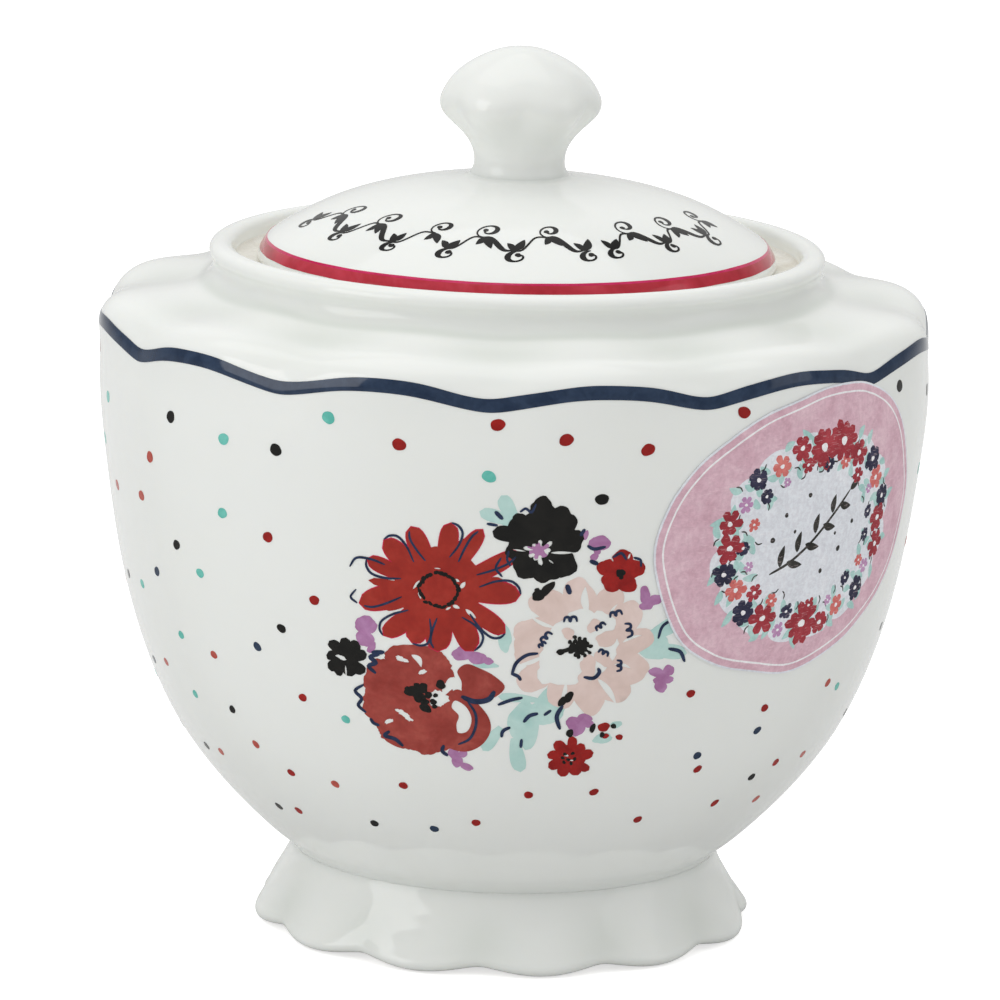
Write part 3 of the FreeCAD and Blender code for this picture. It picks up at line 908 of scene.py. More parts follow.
def draw_peach_blossom(art, rng):
    """A ruffled outer ring, a ragged open middle and loose inner petals."""
    x, y = 10.4, 52.3
    outer = []
    for k in range(12):
        angle = 0.1 + spin(k, 12) + rng.uniform(-0.1, 0.1)
        place = polar(x, y, rng.uniform(7.0, 7.9), angle)
        outer.append(blob(*place, rng.uniform(2.6, 3.2), rng.uniform(2.0, 2.5), 100 + k,
                          0.12, 0.02, angle + 0.3))
    outer.append(blob(x, y, 7.4, 7.3, 120, 0.05))
    holes = shapes(blob, [(-0.7, -0.3, 5.5, 5.3, 121, 0.13, 0.05, 0.4, 44),
                          (-4.2, -3.6, 2.2, 1.7, 122, 0.16, 0.05, 0.6),
                          (2.6, 3.8, 1.9, 1.5, 123, 0.16, 0.05, -0.6)], x, y)
    # slits: angle, inner and outer radius, width
    for angle, inner, reach, width in (
            (1.48, 5.2, 9, 1.1), (2.5, 5, 8.9, 0.6), (3.35, 5.4, 9.9, 0.65),
            (4.3, 5.6, 9.8, 0.7), (5.15, 5.2, 10.1, 0.9), (0.1, 5.6, 8.6, 0.5),
            (0.85, 5.4, 8, 0.45), (5.75, 5.2, 7.8, 0.5)):
        start, end = polar(x, y, inner, angle), polar(x, y, reach, angle + 0.08)
        heading = math.atan2(end[1] - start[1], end[0] - start[0])
        holes.append(leaf(*start, heading, reach - inner, width, 0.25))
    art["peach"].append((outer, holes))
    # loose petals: angle, radius, half-width, half-height, turn
    loose = ((0.35, 3.6, 1.7, 1.05, 0.3), (1.15, 3.5, 1.1, 0.8, 1.2), (2.35, 3, 1, 0.75, -0.6),
             (5, 2.9, 1.15, 1.6, 0.2), (5.75, 3.4, 1.5, 0.95, -0.6), (4.75, 4.6, 0.8, 1.1, 0))
    rows = [(*polar(x, y, radius, angle), *rest) for angle, radius, *rest in loose]
    art["peach_inner"].append((patches(rows, 140, 0.14, 0.04, 30), ()))


def draw_daisy(art, rng):
    """Red daisy with a crimson edge. Returns the pen lines round its petals."""
    x, y, count = -9.7, 60.4, 13
    # pen lines, as (share of the petal's length, share of its width)
    side_line = ((0.50, 0.16), (0.70, 0.40), (0.88, 0.46), (0.98, 0.28), (1.01, 0.02))
    vein = ((0.46, 0.05), (0.66, 0.18), (0.84, 0.22), (0.95, 0.12))
    tip_line = ((0.55, -0.36), (0.80, -0.48), (0.97, -0.32), (1.03, 0.02), (0.96, 0.34),
                (0.80, 0.42))
    petals, edges, pen = [], [], []
    for k in range(count):
        angle = -0.02 + spin(k, count) + rng.uniform(-0.10, 0.10)
        cos, sin = math.cos(angle), math.sin(angle)
        length = (9.3 + 2.8 * abs(cos) ** 2.2) * rng.uniform(0.86, 1.08)
        width = (3.4 + 1.25 * max(0.0, -sin)) * rng.uniform(0.74, 1.2)
        bend = rng.uniform(-0.8, 0.8)
        for group, longer, wider in ((petals, 0.0, 0.0), (edges, 0.14, 0.30)):
            group.append(petal(x, y, angle, 0.6, length + longer, width + wider, bend, 4.2, 16,
                               random.Random(900 + k)))
        side = rng.choice((-1, 1))
        kind = rng.random()
        if kind < 0.93:
            shape = np.array(side_line if kind < 0.5 else vein if kind < 0.8 else tip_line)
            part = shape[:, 0]
            across = side * width * shape[:, 1] + bend * part * part
            pen.append((0.34, turned(x, y, angle, np.stack([length * part, across], 1))))
    # shorter petals between: index, share of the length
    for k, share in ((0, 0.80), (2, 0.86), (4, 0.74), (6, 0.88), (7, 0.78), (9, 0.84), (11, 0.80)):
        angle = -0.02 + spin(k + 0.5, count) + rng.uniform(-0.05, 0.05)
        length = (9.3 + 2.2 * abs(math.cos(angle)) ** 2.2) * share
        petals.append(petal(x, y, angle, 0.6, length, 1.9, rng.uniform(-0.5, 0.5), 4.2, 12,
                            random.Random(930 + k)))
    middle = blob(x, y, 6.3, 6.0, 151, 0.07)
    # slits round the heart: angle, radius, length, width, turn
    slits = [leaf(*polar(x, y, radius, angle), angle + turn, length, width)
             for angle, radius, length, width, turn in (
                 (2.75, 2.95, 1.7, 0.42, 1.35), (3.35, 2.95, 1.1, 0.36, 1.75),
                 (0.10, 3, 1.2, 0.62, 0.9), (0.42, 3.1, 0.8, 0.4, 2.2),
                 (-0.85, 2.95, 1.1, 0.55, 0.5), (-1.25, 3.1, 0.9, 0.34, 1.8),
                 (-0.62, 4.6, 2, 0.62, -0.1), (1.5, 3, 1, 0.2, 1.6))]
    art["daisy_edge"].append((edges + [middle], slits))
    art["daisy"].append((petals + [middle], slits))
    return pen


def draw_coral_rose(art):
    """Coral rose with a torn brush edge. Points are measured from its centre."""
    centre = -12.5, 43.3

    def patch(points, count):
        return smooth_closed(np.array(points) + centre, count)

    body = shapes(blob, [
        (-0.7, -0.8, 7.3, 6.2, 161, 0.07, 0.035, -0.35, 84),
        (-0.1, 6, 4.6, 2.8, 162, 0.08, 0.04, -0.15, 56),
        (-4.9, 2.8, 3, 3.2, 163, 0.10, 0.05, 0, 44), (2.6, -5.2, 3.8, 2.6, 164, 0.08, 0.05, 0.25, 60),
        (-2.2, -5.6, 3.6, 1.7, 165, 0.08, 0.07, -0.3, 56),
        (3.6, 4.2, 1.6, 1.9, 166, 0.1, 0.05, 0.2, 30)], *centre)
    body.append(patch([(5.6, 5.2), (6.9, 6.3), (9, 5.6), (10.8, 4.6), (12.2, 3), (10.6, 1.3),
                       (8.2, 0.7), (6.4, 1.9), (6.2, 3.6)], 6))
    body.append(patch([(4.2, 0.9), (5.6, 2.4), (7.6, 1.2), (9.8, -1.2), (10.4, -3.6), (9.2, -6),
                       (6.8, -7.2), (4, -6.2), (3.2, -2.4)], 6))
    gaps = [patch([(5.4, 0.7), (6.9, -0.2), (7.7, -2), (7.2, -3.9), (5.9, -4.3), (5.6, -3),
                   (5.9, -1.6), (4.9, -0.4)], 5)]
    gaps += shapes(blob, [(3, 0.8, 1.5, 1.2, 170, 0.2, 0.12, -0.7, 28),
                          (4.6, 3, 1.5, 0.8, 169, 0.2, 0.1, 0.9, 26)], *centre)
    gaps += shapes(leaf, [(-0.9, 7.2, -0.9, 2.3, 0.9, 0.4)], *centre)
    gaps += shapes(blob, [
        (-2.3, 6.4, 0.9, 0.4, 172, 0.2, 0.14, -0.3), (0.7, 4.7, 0.7, 0.3, 168, 0.2, 0.14, 0.4),
        (-2, -1.9, 1.1, 0.45, 173, 0.22, 0.2, -0.5, 24),
        (-1.2, -2.6, 0.7, 0.3, 178, 0.22, 0.2, -0.6, 20),
        (-4, -3.3, 0.8, 0.3, 174, 0.22, 0.2, 0.4, 20)], *centre)
    art["coral"].append((body, gaps))


def draw_black_blossoms(art, rng):
    """The large black blossom with its lilac heart, its bud and the small blossom."""
    x, y = 4.6, 67.7
    black = [blob(x + 0.1, y, 4.0, 4.7, 181, 0.05)]
    for k in range(8):
        angle = 0.12 + spin(k, 8) + rng.uniform(-0.12, 0.12)
        place = (x + rng.uniform(3.1, 3.6) * math.cos(angle),
                 y + rng.uniform(3.7, 4.3) * math.sin(angle))
        black.append(blob(*place, rng.uniform(1.9, 2.4), rng.uniform(1.6, 2.1), 190 + k,
                          0.14, 0.045, angle, 34))
    black.append(petal(x, y - 0.3, 2.86, 2.0, 7.3, 3.0, 0.3, 4.0, 14, rng))
    x, y = x - 0.7, y - 1.3
    star = [blob(x, y, 1.15, 1.05, 186, 0.14, 0.08)]
    star += rosette(rng, x, y, 9, 0.0, 0.25, 0.2, (1, 1.35, 2.35), 0.85, 0.1, 5.0, 9)
    star += shapes(leaf, [(1.6, -0.2, 0, 3.3, 0.42), (-3.6, 0.2, -0.12, 1.9, 0.26),
                          (1.4, -1.2, -0.7, 0.9, 0.22)], x, y)
    bud = shapes(blob, [(4, 60, 0.95, 0.75, 202, 0.12, 0.03, 0.5),
                        (5.2, 60.9, 1.35, 0.62, 201, 0.12, 0.02, 0.75),
                        (3.8, 60.8, 0.35, 0.3, 203, 0.1)])
    art["black"] += [(black, star), (bud, ())]
    heart = [blob(x, y + 0.1, 0.75, 0.75, 187, 0.15, 0.1)]
    heart += rosette(rng, x, y + 0.1, 6, 0.4, 0.3, 0.1, (1, 1.1, 2.0), 0.8, 0.1, 5.0, 9)
    art["lilac_heart"].append((heart, ()))
    x, y = -23.2, 48.9
    small = rosette(rng, x, y, 9, 0.15, 0.16, 0.2, (3.3, 0.84, 1.08), 2.35, 0.3, 4.0, 12)
    small.append(blob(x, y, 2.1, 2.0, 208, 0.08))
    art["black"].append((small, [blob(x - 0.6, y + 0.1, 0.8, 0.32, 205, 0.2, 0.12, -0.2),
                                 leaf(x + 0.1, y - 1.0, -1.5, 1.9, 0.28)]))


def draw_small_red(art, rng):
    x, y = 15.5, 63.2
    upper = []
    for k in range(5):
        radius = 1.95 * rng.uniform(0.92, 1.06)
        place = polar(x, y, radius, 0.2 + spin(k, 5) + rng.uniform(-0.1, 0.1))
        upper.append(blob(*place, rng.uniform(1.4, 1.6), rng.uniform(1.25, 1.45), 206 + k,
                          0.12, 0.02))
    upper.append(blob(x, y, 1.7, 1.7, 204, 0.08))
    slits = shapes(leaf, [(0.9, 1.9, 1.2, 0.9, 0.3), (-1.2, 1.6, 2, 0.8, 0.2)], x, y)
    x, y = 8.9, 35.3
    lower = rosette(rng, x, y, 9, 0.1, 0.14, 0.2, (3.4, 0.86, 1.06), 2.1, 0.2, 4.0, 12)
    lower.append(blob(x, y, 2.3, 2.2, 213, 0.06))
    holes = shapes(blob, [(-0.4, 0.45, 0.35, 0.16, 211, 0.2),
                          (0.35, -0.35, 0.3, 0.14, 212, 0.2)], x, y)
    buds = shapes(blob, [(13.7, 40.1, 0.85, 0.7, 215, 0.1),
                         (16, 38.4, 0.55, 0.42, 216, 0.1, 0, -0.4),
                         (14, 38.7, 0.5, 0.4, 217, 0.1)])
    art["small_red"] += [(upper, slits), (lower, holes), (buds, ())]


def draw_stamens(art, rng):
    """Black stamens and dots of every flower."""
    marks = shapes(blob, [(15.4, 63.1, 0.62, 0.66, 221, 0.16), (15.5, 62.5, 0.34, 0.3, 222, 0.1)])
    # a ring of flecks in the daisy
    for k in range(25):
        angle = spin(k, 25) + rng.uniform(-0.07, 0.07)
        size = rng.uniform(0.93, 1.05)
        place = -9.7 + 2.65 * size * math.cos(angle), 60.4 + 2.5 * size * math.sin(angle)
        marks.append(blob(*place, rng.uniform(0.34, 0.5), rng.uniform(0.24, 0.34), 230 + k, 0.15,
                          0.0, angle + math.pi / 2 + rng.uniform(-0.4, 0.4), 12))
    # threads and heads in the peach blossom
    x, y = 9.9, 52.4
    for k in range(12):
        angle = spin(k, 12) + rng.uniform(-0.1, 0.1)
        radius = rng.uniform(1.15, 1.7)
        end = polar(x, y, radius, angle)
        marks += stroke([polar(x, y, 0.5, angle), polar(x, y, radius * 0.7, angle + 0.05), end],
                        0.3, count=3, taper=0.2, blunt=0.7)
        marks.append(blob(*end, rng.uniform(0.26, 0.36), rng.uniform(0.24, 0.32), 260 + k,
                          0.1, 0.0, 0.0, 10))
    for k in range(9):
        place = polar(x, y, rng.uniform(0.9, 1.25), spin(k, 9) + 0.2)
        marks.append(blob(*place, 0.32, 0.28, 270 + k, 0.12, 0.0, 0.3 * k, 10))
    marks.append(blob(x, y, 1.0, 0.95, 259, 0.18, 0.12, 0.0, 24))
    marks += stroke([(8.9, 52.2), (8.2, 52.0), (7.3, 51.7)], 0.6, count=4, taper=0.3, blunt=0.7)
    marks.append(blob(7.3, 51.7, 0.62, 0.42, 258, 0.12, 0.0, 0.3))
    # the heart of the coral rose
    marks += patches((
        (-13.1, 45, 1.15, 0.85, 0.2), (-11.7, 45.6, 0.75, 0.75, 0.9), (-12.2, 44.2, 1.1, 0.75, -0.5),
        (-10.9, 44.6, 0.55, 0.5, 0), (-11.4, 43.5, 0.6, 0.5, 0), (-11.3, 42.6, 0.95, 0.62, -0.4),
        (-10.2, 43.6, 0.5, 0.42, 0), (-9.2, 46.3, 0.72, 0.66, -0.4), (-9.9, 44.6, 0.35, 0.3, 0),
        (-12.6, 45.9, 0.5, 0.4, 0.3), (-10, 42.9, 0.4, 0.32, 0.2),
        (-13.9, 45.3, 0.42, 0.36, 0.2)), 280, 0.14, 0.03, 20)
    # the lower red blossom, then loose dots
    ring = ((8.3, 36), (9.4, 36.1), (9.7, 35.2), (9.2, 34.5), (8.2, 34.7), (8, 35.4), (8.8, 35.1))
    marks += patches([(*place, 0.3, 0.24, 0.5 * k) for k, place in enumerate(ring)],
                     300, 0.15, 0.0, 10)
    marks += patches((
        (8.6, 44.9, 0.55, 0.95, -0.6), (7.7, 44.2, 0.5, 0.85, -0.6), (8.9, 39.3, 0.55, 0.6, 0),
        (12.1, 40, 0.42, 0.7, -0.3), (15.1, 40.2, 0.42, 0.38, 0),
        (13.5, 38.9, 0.36, 0.42, -0.4)), 320, 0.12, 0.0, 14)
    art["stamens"].append((marks, ()))


# x, y, angle, size
SQUIGGLES = (
    (8.6, 56.3, 0.1, 1), (12.9, 55.3, 0.7, 0.8), (15, 57, 0.3, 0.95), (16.6, 54.6, -1.3, 1.15),
    (15.4, 49.4, -1.5, 0.9), (5.4, 53.8, 0.9, 1), (4.8, 52.7, 0.7, 0.6), (13.3, 51.3, -0.4, 0.8))
# width, points
PEN_LINES = (
    (0.5, ((0.6, 48.2), (1.2, 50), (2.6, 51.2), (4.2, 51.5))),
    (0.5, ((0.6, 48.4), (1.5, 48), (1.9, 47.4))),
    (0.55, ((10.6, 47.9), (12, 47.7), (12.8, 48.5), (12.6, 49.2))),
    (0.5, ((-1.2, 43.6), (0.6, 44.4), (2.2, 44.8))),
    (0.55, ((2.4, 41), (3.2, 42), (4.4, 42.4))), (0.45, ((5.2, 42.1), (6.2, 42.9))),
    (0.62, ((7.8, 43.6), (7, 41.9), (7.5, 39.9))), (0.5, ((-0.6, 38.6), (-0.4, 39.6), (0.6, 40.2))),
    (0.45, ((2.1, 37), (2.2, 38.4))),
    (0.8, ((-6.3, 44.7), (-4.4, 44), (-2.5, 44.4), (-1.7, 45.7))),
    (0.4, ((-5.4, 44), (-4.3, 42.2), (-4.2, 40.2), (-5, 38.2), (-6.6, 37.2))),
    (0.5, ((-20.3, 45.3), (-21.6, 44.2), (-20.6, 43.1), (-21.1, 42), (-19.9, 41))),
    (0.5, ((-19.3, 40.2), (-18.8, 39.5), (-17.9, 39.2))),
    (0.6, ((-16.4, 38.5), (-17.1, 37.7), (-15.6, 37.3), (-14.4, 36.3))),
    (0.62, ((-18, 50.1), (-19.4, 49.6), (-18.5, 48.8), (-19.6, 48.2), (-18.5, 47.2))),
    (0.66, ((-17.3, 50.5), (-19.2, 50.3))), (0.55, ((-8, 35.3), (-8.8, 36), (-8.6, 37))),
    (0.36, ((1.2, 72), (2, 72.5), (2.8, 72), (3.4, 73.2))), (0.6, ((-2.2, 72), (-1.1, 70.9))),
    (0.42, ((-3.3, 70.2), (-1.8, 70))), (0.36, ((-0.2, 66.4), (-0.4, 65.2), (0.1, 64.2))),
    (0.36, ((-1, 62.6), (-1.9, 63.9), (-1.2, 65.4))),
    (0.5, ((10.6, 67.2), (11.6, 66.7), (13.2, 67))), (0.5, ((9.6, 68.6), (10.2, 69.6))),
    (0.62, ((11, 65), (12.2, 64.5))), (0.75, ((7.9, 61.6), (8.4, 60.2))),
    (0.4, ((14.2, 65.4), (15.4, 66), (16.2, 65))),
    (0.36, ((17.2, 65.3), (18.2, 64.9), (18.3, 63.9))),
    (0.42, ((21.2, 53.2), (21.8, 55), (23.4, 56))), (0.55, ((22.8, 51.6), (24.6, 51), (25.4, 49.4))),
    (0.36, ((-22.6, 62.6), (-21.6, 64), (-19.4, 64), (-17.4, 63.4))),
    (0.32, ((-21.6, 59.4), (-22.4, 58.2), (-21.4, 57.4))))


def draw_spray(seed):
    """Outlines of the spray by layer. The flowers share one run of random numbers."""
    rng = random.Random(seed)
    art = defaultdict(list)
    draw_leaves(art)
    draw_lilac_buds(art)
    draw_peach_blossom(art, rng)
    pen = draw_daisy(art, rng)
    draw_coral_rose(art)
    draw_black_blossoms(art, rng)
    draw_small_red(art, rng)
    draw_stamens(art, rng)
    pen += [(0.42, squiggle(*row)) for row in SQUIGGLES] + list(PEN_LINES)
    quads = []
    for width, points in pen:
        quads += stroke(points, width, count=5, taper=0.35, blunt=0.45)
    art["pen"].append((quads, ()))
    return art


# layer, object name, ink, lift off the glaze
LAYERS = (
    ("mint", "print_leaves", "mint", 0.018),
    ("peach", "print_peach_blossom", "peach", 0.028),
    ("peach_inner", "print_peach_petals", "peach", 0.034),
    ("lilac", "print_lilac_buds", "lilac", 0.038),
    ("coral", "print_coral_rose", "coral", 0.042),
    ("daisy_edge", "print_daisy_rim", "crimson", 0.048),
    ("daisy", "print_red_daisy", "red", 0.054),
    ("small_red", "print_small_red", "bright_red", 0.046),
    ("black", "print_black_blossoms", "black", 0.058),
    ("lilac_heart", "print_blossom_heart", "lilac", 0.050),
    ("stamens", "print_stamens", "black", 0.064),
    ("pen", "print_pen_lines", "pen_blue", 0.070))
spray = draw_spray(7)
for layer, name, colour, lift in LAYERS:
    groups = [(outlines, holes, place_on_bowl(azimuth), 1.2)
              for azimuth in (0.0, 180.0) for outlines, holes in spray[layer]]
    print_piece(name, groups, lift, ink[colour])

# ---- Scattered dots
LABEL_AZIMUTH, LABEL_Z = 45.5, 66.3
BACK_DOTS, DOT_TRIES, DOT_GAP = 104, 40000, 7.4
# dots round the front spray, as (azimuth, height)
FRONT_DOTS = {
    "teal": [(-75, 78.2), (-25, 83.5), (-42, 78.2), (-3, 76.9), (-43, 67.4), (-49, 57.6),
             (-68, 52.2), (-57, 46.9), (62, 40.5), (-58, 37.8), (-25, 39.5)],
    "red": [(-2, 84.1), (7, 82.2), (-15, 80.7), (18, 80.6), (32, 84.9), (-35, 65.2), (-28, 57),
            (28, 44.4), (-32, 41.9), (43, 40.4), (33, 32), (-39, 29), (-17, 29.8), (15, 29.6),
            (4, 29.3), (41, 25.3), (-43, 22), (25, 24.2), (-5, 24.2), (52, 30.4)],
    "coral": [(-59, 72.6), (-74, 65.5), (-63, 66.2), (-49, 45.5), (-66, 41), (58, 41.8),
              (-45, 32.5), (-58, 28.9), (61, 30.1), (-30, 28.5), (54, 24)],
    "black": [(65, 84.3), (-53, 79.5), (-33, 78), (12, 73.8), (-54, 60.8), (-34, 52),
              (-48, 37.4), (76, 33.7), (-64, 28.6), (47, 28.8), (-49, 21.7), (-25, 22.4)],
    "navy": [(-39, 48.5), (43, 36.9), (32, 34.3), (-13, 22.6), (-61, 55.5)],
}
DOT_INKS = {"teal": "teal", "red": "bright_red", "coral": "coral_dot", "black": "black",
            "navy": "navy"}


def scatter_dots():
    """Front dots plus random ones over the rest, clear of the back spray, label and others."""
    rng = random.Random(41)
    dots = [(azimuth, z, colour) for colour, places in FRONT_DOTS.items()
            for azimuth, z in places]
    wanted = len(dots) + BACK_DOTS
    names = ["red", "red", "coral", "teal", "black"] + ["red", "coral", "teal", "black", "navy"]
    for _ in range(DOT_TRIES):
        if len(dots) == wanted:
            break
        azimuth, z = rng.uniform(76, 286), rng.uniform(20.5, 84.5)
        radius = body_radius(z)
        # an even scatter by area
        if rng.random() > radius / 60.5:
            continue
        x = math.radians(azimuth - 180) * radius
        if ((x + 1.0) / 29.0) ** 2 + ((z - 53.5) / 24.0) ** 2 < 1.0:
            continue
        x = math.radians(azimuth - LABEL_AZIMUTH) * radius
        if (x / 29.0) ** 2 + ((z - LABEL_Z) / 23.0) ** 2 < 1.0:
            continue
        if all(math.hypot(math.radians((azimuth - other + 180) % 360 - 180) * radius,
                          z - other_z) >= DOT_GAP for other, other_z, _ in dots):
            dots.append((azimuth, z, names[rng.randrange(len(names))]))
    return dots


dots = scatter_dots()
for colour, ink_name in DOT_INKS.items():
    groups = []
    for k, (azimuth, z, dot_colour) in enumerate(dots):
        if dot_colour == colour:
            size = np.interp(z, [20.0, 45.0, 65.0, 80.0], [1.25, 1.35, 1.7, 1.95])
            dot = blob(0.0, z, size * 0.52, size * 0.43, 500 + k, 0.06, 0.0,
                       0.5 * math.sin(3.7 * k), 22)
            groups.append(([dot], [], place_on_bowl(azimuth), 0.0))
    print_piece("dots_" + colour, groups, 0.04, ink[ink_name])


# ---- Painted bands
def wavy(azimuth, seed, size):
    """A brush's small unevenness round a ring."""
    rng = random.Random(seed)
    out = np.zeros(len(azimuth))
    for k in (3, 5, 8, 13, 21, 34):
        out += rng.uniform(0.4, 1.0) * np.sin(np.radians(k * azimuth) + rng.uniform(0, 6.283))
    return size * out / 3.0


azimuth = np.arange(720) * 0.5
low = 85.7 + 2.1 * petal_wave(azimuth, PETALS, PETAL_AZIMUTH) + wavy(azimuth, 3, 0.10)
high = low + 1.85 + wavy(azimuth, 4, 0.14)
ring_piece("band_navy", low, high, on_body, 0.05, ink["navy"], 6)
azimuth = np.arange(480) * 0.75
edge = lid_down_at_radius(36.04)
outer = lid_down_at_height(97.95) + wavy(azimuth, 5, 0.06)
inner = edge + 0.28 + wavy(azimuth, 6, 0.05)
ring_piece("band_red", outer, inner, on_lid, 0.045, ink["band_red"], 6, "lid")
ring_piece("band_red_edge", inner + 0.12, edge + wavy(azimuth, 7, 0.05), on_lid, 0.05,
           ink["magenta"], 3, "lid")

# ---- Pen flourish on the lid: a running vine in three lengths
VINE_R = 31.0
VINE_DOWN = lid_down_at_radius(VINE_R)
VINES = ((-76.0, -26.0, 3), (-19.5, 17.5, 4), (25.5, 71.0, 5))     # start, end azimuth, seed


def place_on_lid(azimuth):
    def place(x, y, lift):
        return on_lid(azimuth + np.degrees(x / VINE_R), VINE_DOWN - y, lift)
    return place


def vine(length, seed):
    """Stem, tendrils, leaves and berries along 0..length, about 6 mm high."""
    rng = random.Random(seed)
    count = int(round(length / 5.3))
    step = length / count
    knots = [(k * step + rng.uniform(-0.25, 0.25),
              2.5 + (1.55 if k % 2 else -1.55) + rng.uniform(-0.3, 0.3))
             for k in range(count + 1)]
    stem = []
    for (x, y), (_, next_y) in zip(knots, knots[1:]):
        rise = next_y - y
        stem += [(x, y), (x + 0.30 * step, y + 0.06 * rise),
                 (x + 0.70 * step, next_y - 0.06 * rise)]
    stem.append(knots[-1])
    out = stroke(stem, (0.34, 1.12), count=6, taper=0.06, blunt=0.4)
    for k, (x, y) in enumerate(knots):
        side = 1 if k % 2 else -1
        # a spiral tendril from each turn, with a berry at its end
        turns = rng.uniform(1.1, 1.3) if side > 0 else rng.uniform(0.9, 1.05)
        size = rng.uniform(1.65, 1.95) if side > 0 else rng.uniform(1.25, 1.5)
        points = []
        for j in range(17):
            t = j / 16
            radius = size * (1 - 0.70 * t)
            angle = -math.pi * 0.5 * side - side * turns * 2 * math.pi * t
            sin = math.sin(angle)
            points.append((x + 0.8 + 1.12 * radius * math.cos(angle) + 0.25 * radius * sin,
                           y + side * size + radius * sin))
        out += stroke(points, (0.32, 0.92), count=3, taper=0.3, blunt=0.35)
        out.append(blob(*points[-1], 0.48, 0.42, seed * 31 + k, 0.1, 0.0, 0.0, 12))
        # two leaves on the other side of the turn: lean, length, width
        for lean, long, wide in ((0.62, rng.uniform(2.6, 3.3), 1.3),
                                 (-0.42, rng.uniform(1.9, 2.4), 1.08)):
            heading = (math.pi / 2) * -side + lean * side + rng.uniform(-0.15, 0.15)
            out.append(leaf(x + 0.1, y, heading, long, wide, 0.25 * side))
    return out


groups = [(vine(math.radians(end - start) * VINE_R, seed), [], place_on_lid(start), 1.6)
          for start, end, seed in VINES]
print_piece("lid_flourish", groups, 0.045, ink["script"], body="lid")

# ---- Paper label
LABEL_GAP, LABEL_THICK = 0.07, 0.15
LABEL_TOP = LABEL_GAP + LABEL_THICK
GRID = 1.3                      # spacing of inner points on the large pieces
# (angle in degrees, radius) round the label's centre
LABEL_EDGE = [
    (-176, 26.4), (-150, 24.9), (-131, 23), (-111, 20.9), (-88, 20.7), (-60, 21), (-43, 22.4),
    (-30, 24.3), (-16, 26.1), (2, 27), (16, 25.9), (32, 25.1), (46, 24.2), (61, 22.8), (75, 21.5),
    (90, 20.7), (106, 20.2), (121, 20.9), (138, 22.3), (152, 24.3), (167, 25.9)]


def label_outline(inset, wobble=0.0, seed=0):
    """The label's edge moved inward, with a little random wobble."""
    rng = random.Random(seed)
    base = smooth_closed([(radius * math.cos(math.radians(angle)),
                           radius * math.sin(math.radians(angle)))
                          for angle, radius in LABEL_EDGE], 8)
    along = np.roll(base, -1, axis=0) - np.roll(base, 1, axis=0)
    along /= np.hypot(along[:, 0], along[:, 1])[:, None]
    inward = inset + wobble * np.array([rng.uniform(-1, 1) for _ in range(len(base))])
    return base + np.stack([-along[:, 1], along[:, 0]], 1) * inward[:, None]


def place_label(x, y, lift):
    z = LABEL_Z + y
    turn = np.degrees(x / body_radius(np.minimum(z, 86.0)))
    return on_body(LABEL_AZIMUTH + turn, z, lift)


def label_piece(name, outlines, lift, material, spacing=0.0, holes=(), under=LABEL_TOP - 0.05):
    """A piece of the label, lifted off the sheet's face."""
    return print_piece(name, [(outlines, holes, place_label, spacing)], LABEL_TOP + lift,
                       material, under, sharp=50.0)


WHITE = (255, 255, 255)
paper_white = paper_material("paper_white", [(226, 230, 236), (233, 237, 243), (240, 243, 248)],
                             fibre=WHITE)
paper_pink = paper_material("paper_pink", [(214, 172, 186), (225, 187, 200), (234, 201, 211)])
paper_line = paper_material("paper_line", [(246, 244, 246), (250, 249, 250), (253, 253, 253)],
                            fibre=WHITE)
sheet = label_piece("label_sheet", [label_outline(0.0)], 0.0, paper_white, GRID,
                    under=LABEL_GAP)
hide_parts("paper_label")
label_piece("label_pink_print", [label_outline(0.28, 0.03, 11)], 0.012, paper_pink, GRID)
label_piece("label_inner_line", [label_outline(1.20, 0.02, 12)], 0.020, paper_line, GRID,
            [label_outline(1.47, 0.02, 13)])

# ---- The label's scalloped medallion with a wreath of small flowers and a pen sprig
MEDAL_X, MEDAL_Y, MEDAL_W, MEDAL_H = 0.6, -0.6, 18.6, 15.4      # centre and half sizes


def on_medal(share, angle):
    """Point at a share of the medallion's half sizes."""
    return (MEDAL_X + MEDAL_W * share * math.cos(angle),
            MEDAL_Y + MEDAL_H * share * math.sin(angle))


def scalloped_edge(scallops=16, depth=0.07, points_each=9):
    out = []
    for k in range(scallops * points_each):
        angle = spin(k, scallops * points_each)
        wave = abs(math.sin(scallops * angle / 2))
        out.append(on_medal(1 - depth * (1 - wave) ** 1.5, angle))
    return np.array(out)


label_piece("label_medallion", [scalloped_edge()], 0.026, paper_white, GRID)
label_ink = {name: paper_material("label_" + name, tones) for name, tones in (
    ("red", [(150, 40, 52), (168, 48, 60), (186, 66, 76)]),
    ("navy", [(38, 40, 66), (50, 50, 78), (72, 70, 98)]),
    ("mint", [(160, 206, 200), (178, 218, 212), (196, 228, 223)]),
    ("coral", [(206, 96, 92), (218, 112, 106), (228, 134, 126)]),
    ("lilac", [(180, 128, 176), (194, 144, 188), (206, 164, 202)]),
    ("pen", [(44, 44, 40), (58, 57, 52), (76, 74, 70)]))}

# flower count, share of the medallion, zigzag of that share, flower size, share of the leaves,
# leaves to a flower, kinds
RINGS = (
    (24, 0.86, 0.028, 1.0, 0.77, 3, ["red", "navy", "coral", "navy", "red", "lilac", "navy",
                                     "red", "coral", "navy", "lilac", "red"]),
    (19, 0.69, 0.022, 0.62, 0.61, 2, ["navy", "lilac", "red", "coral", "navy", "red", "lilac",
                                      "navy", "coral"]))
FLOWER_R = {"red": 2.15, "navy": 1.85, "coral": 1.8, "lilac": 1.3}


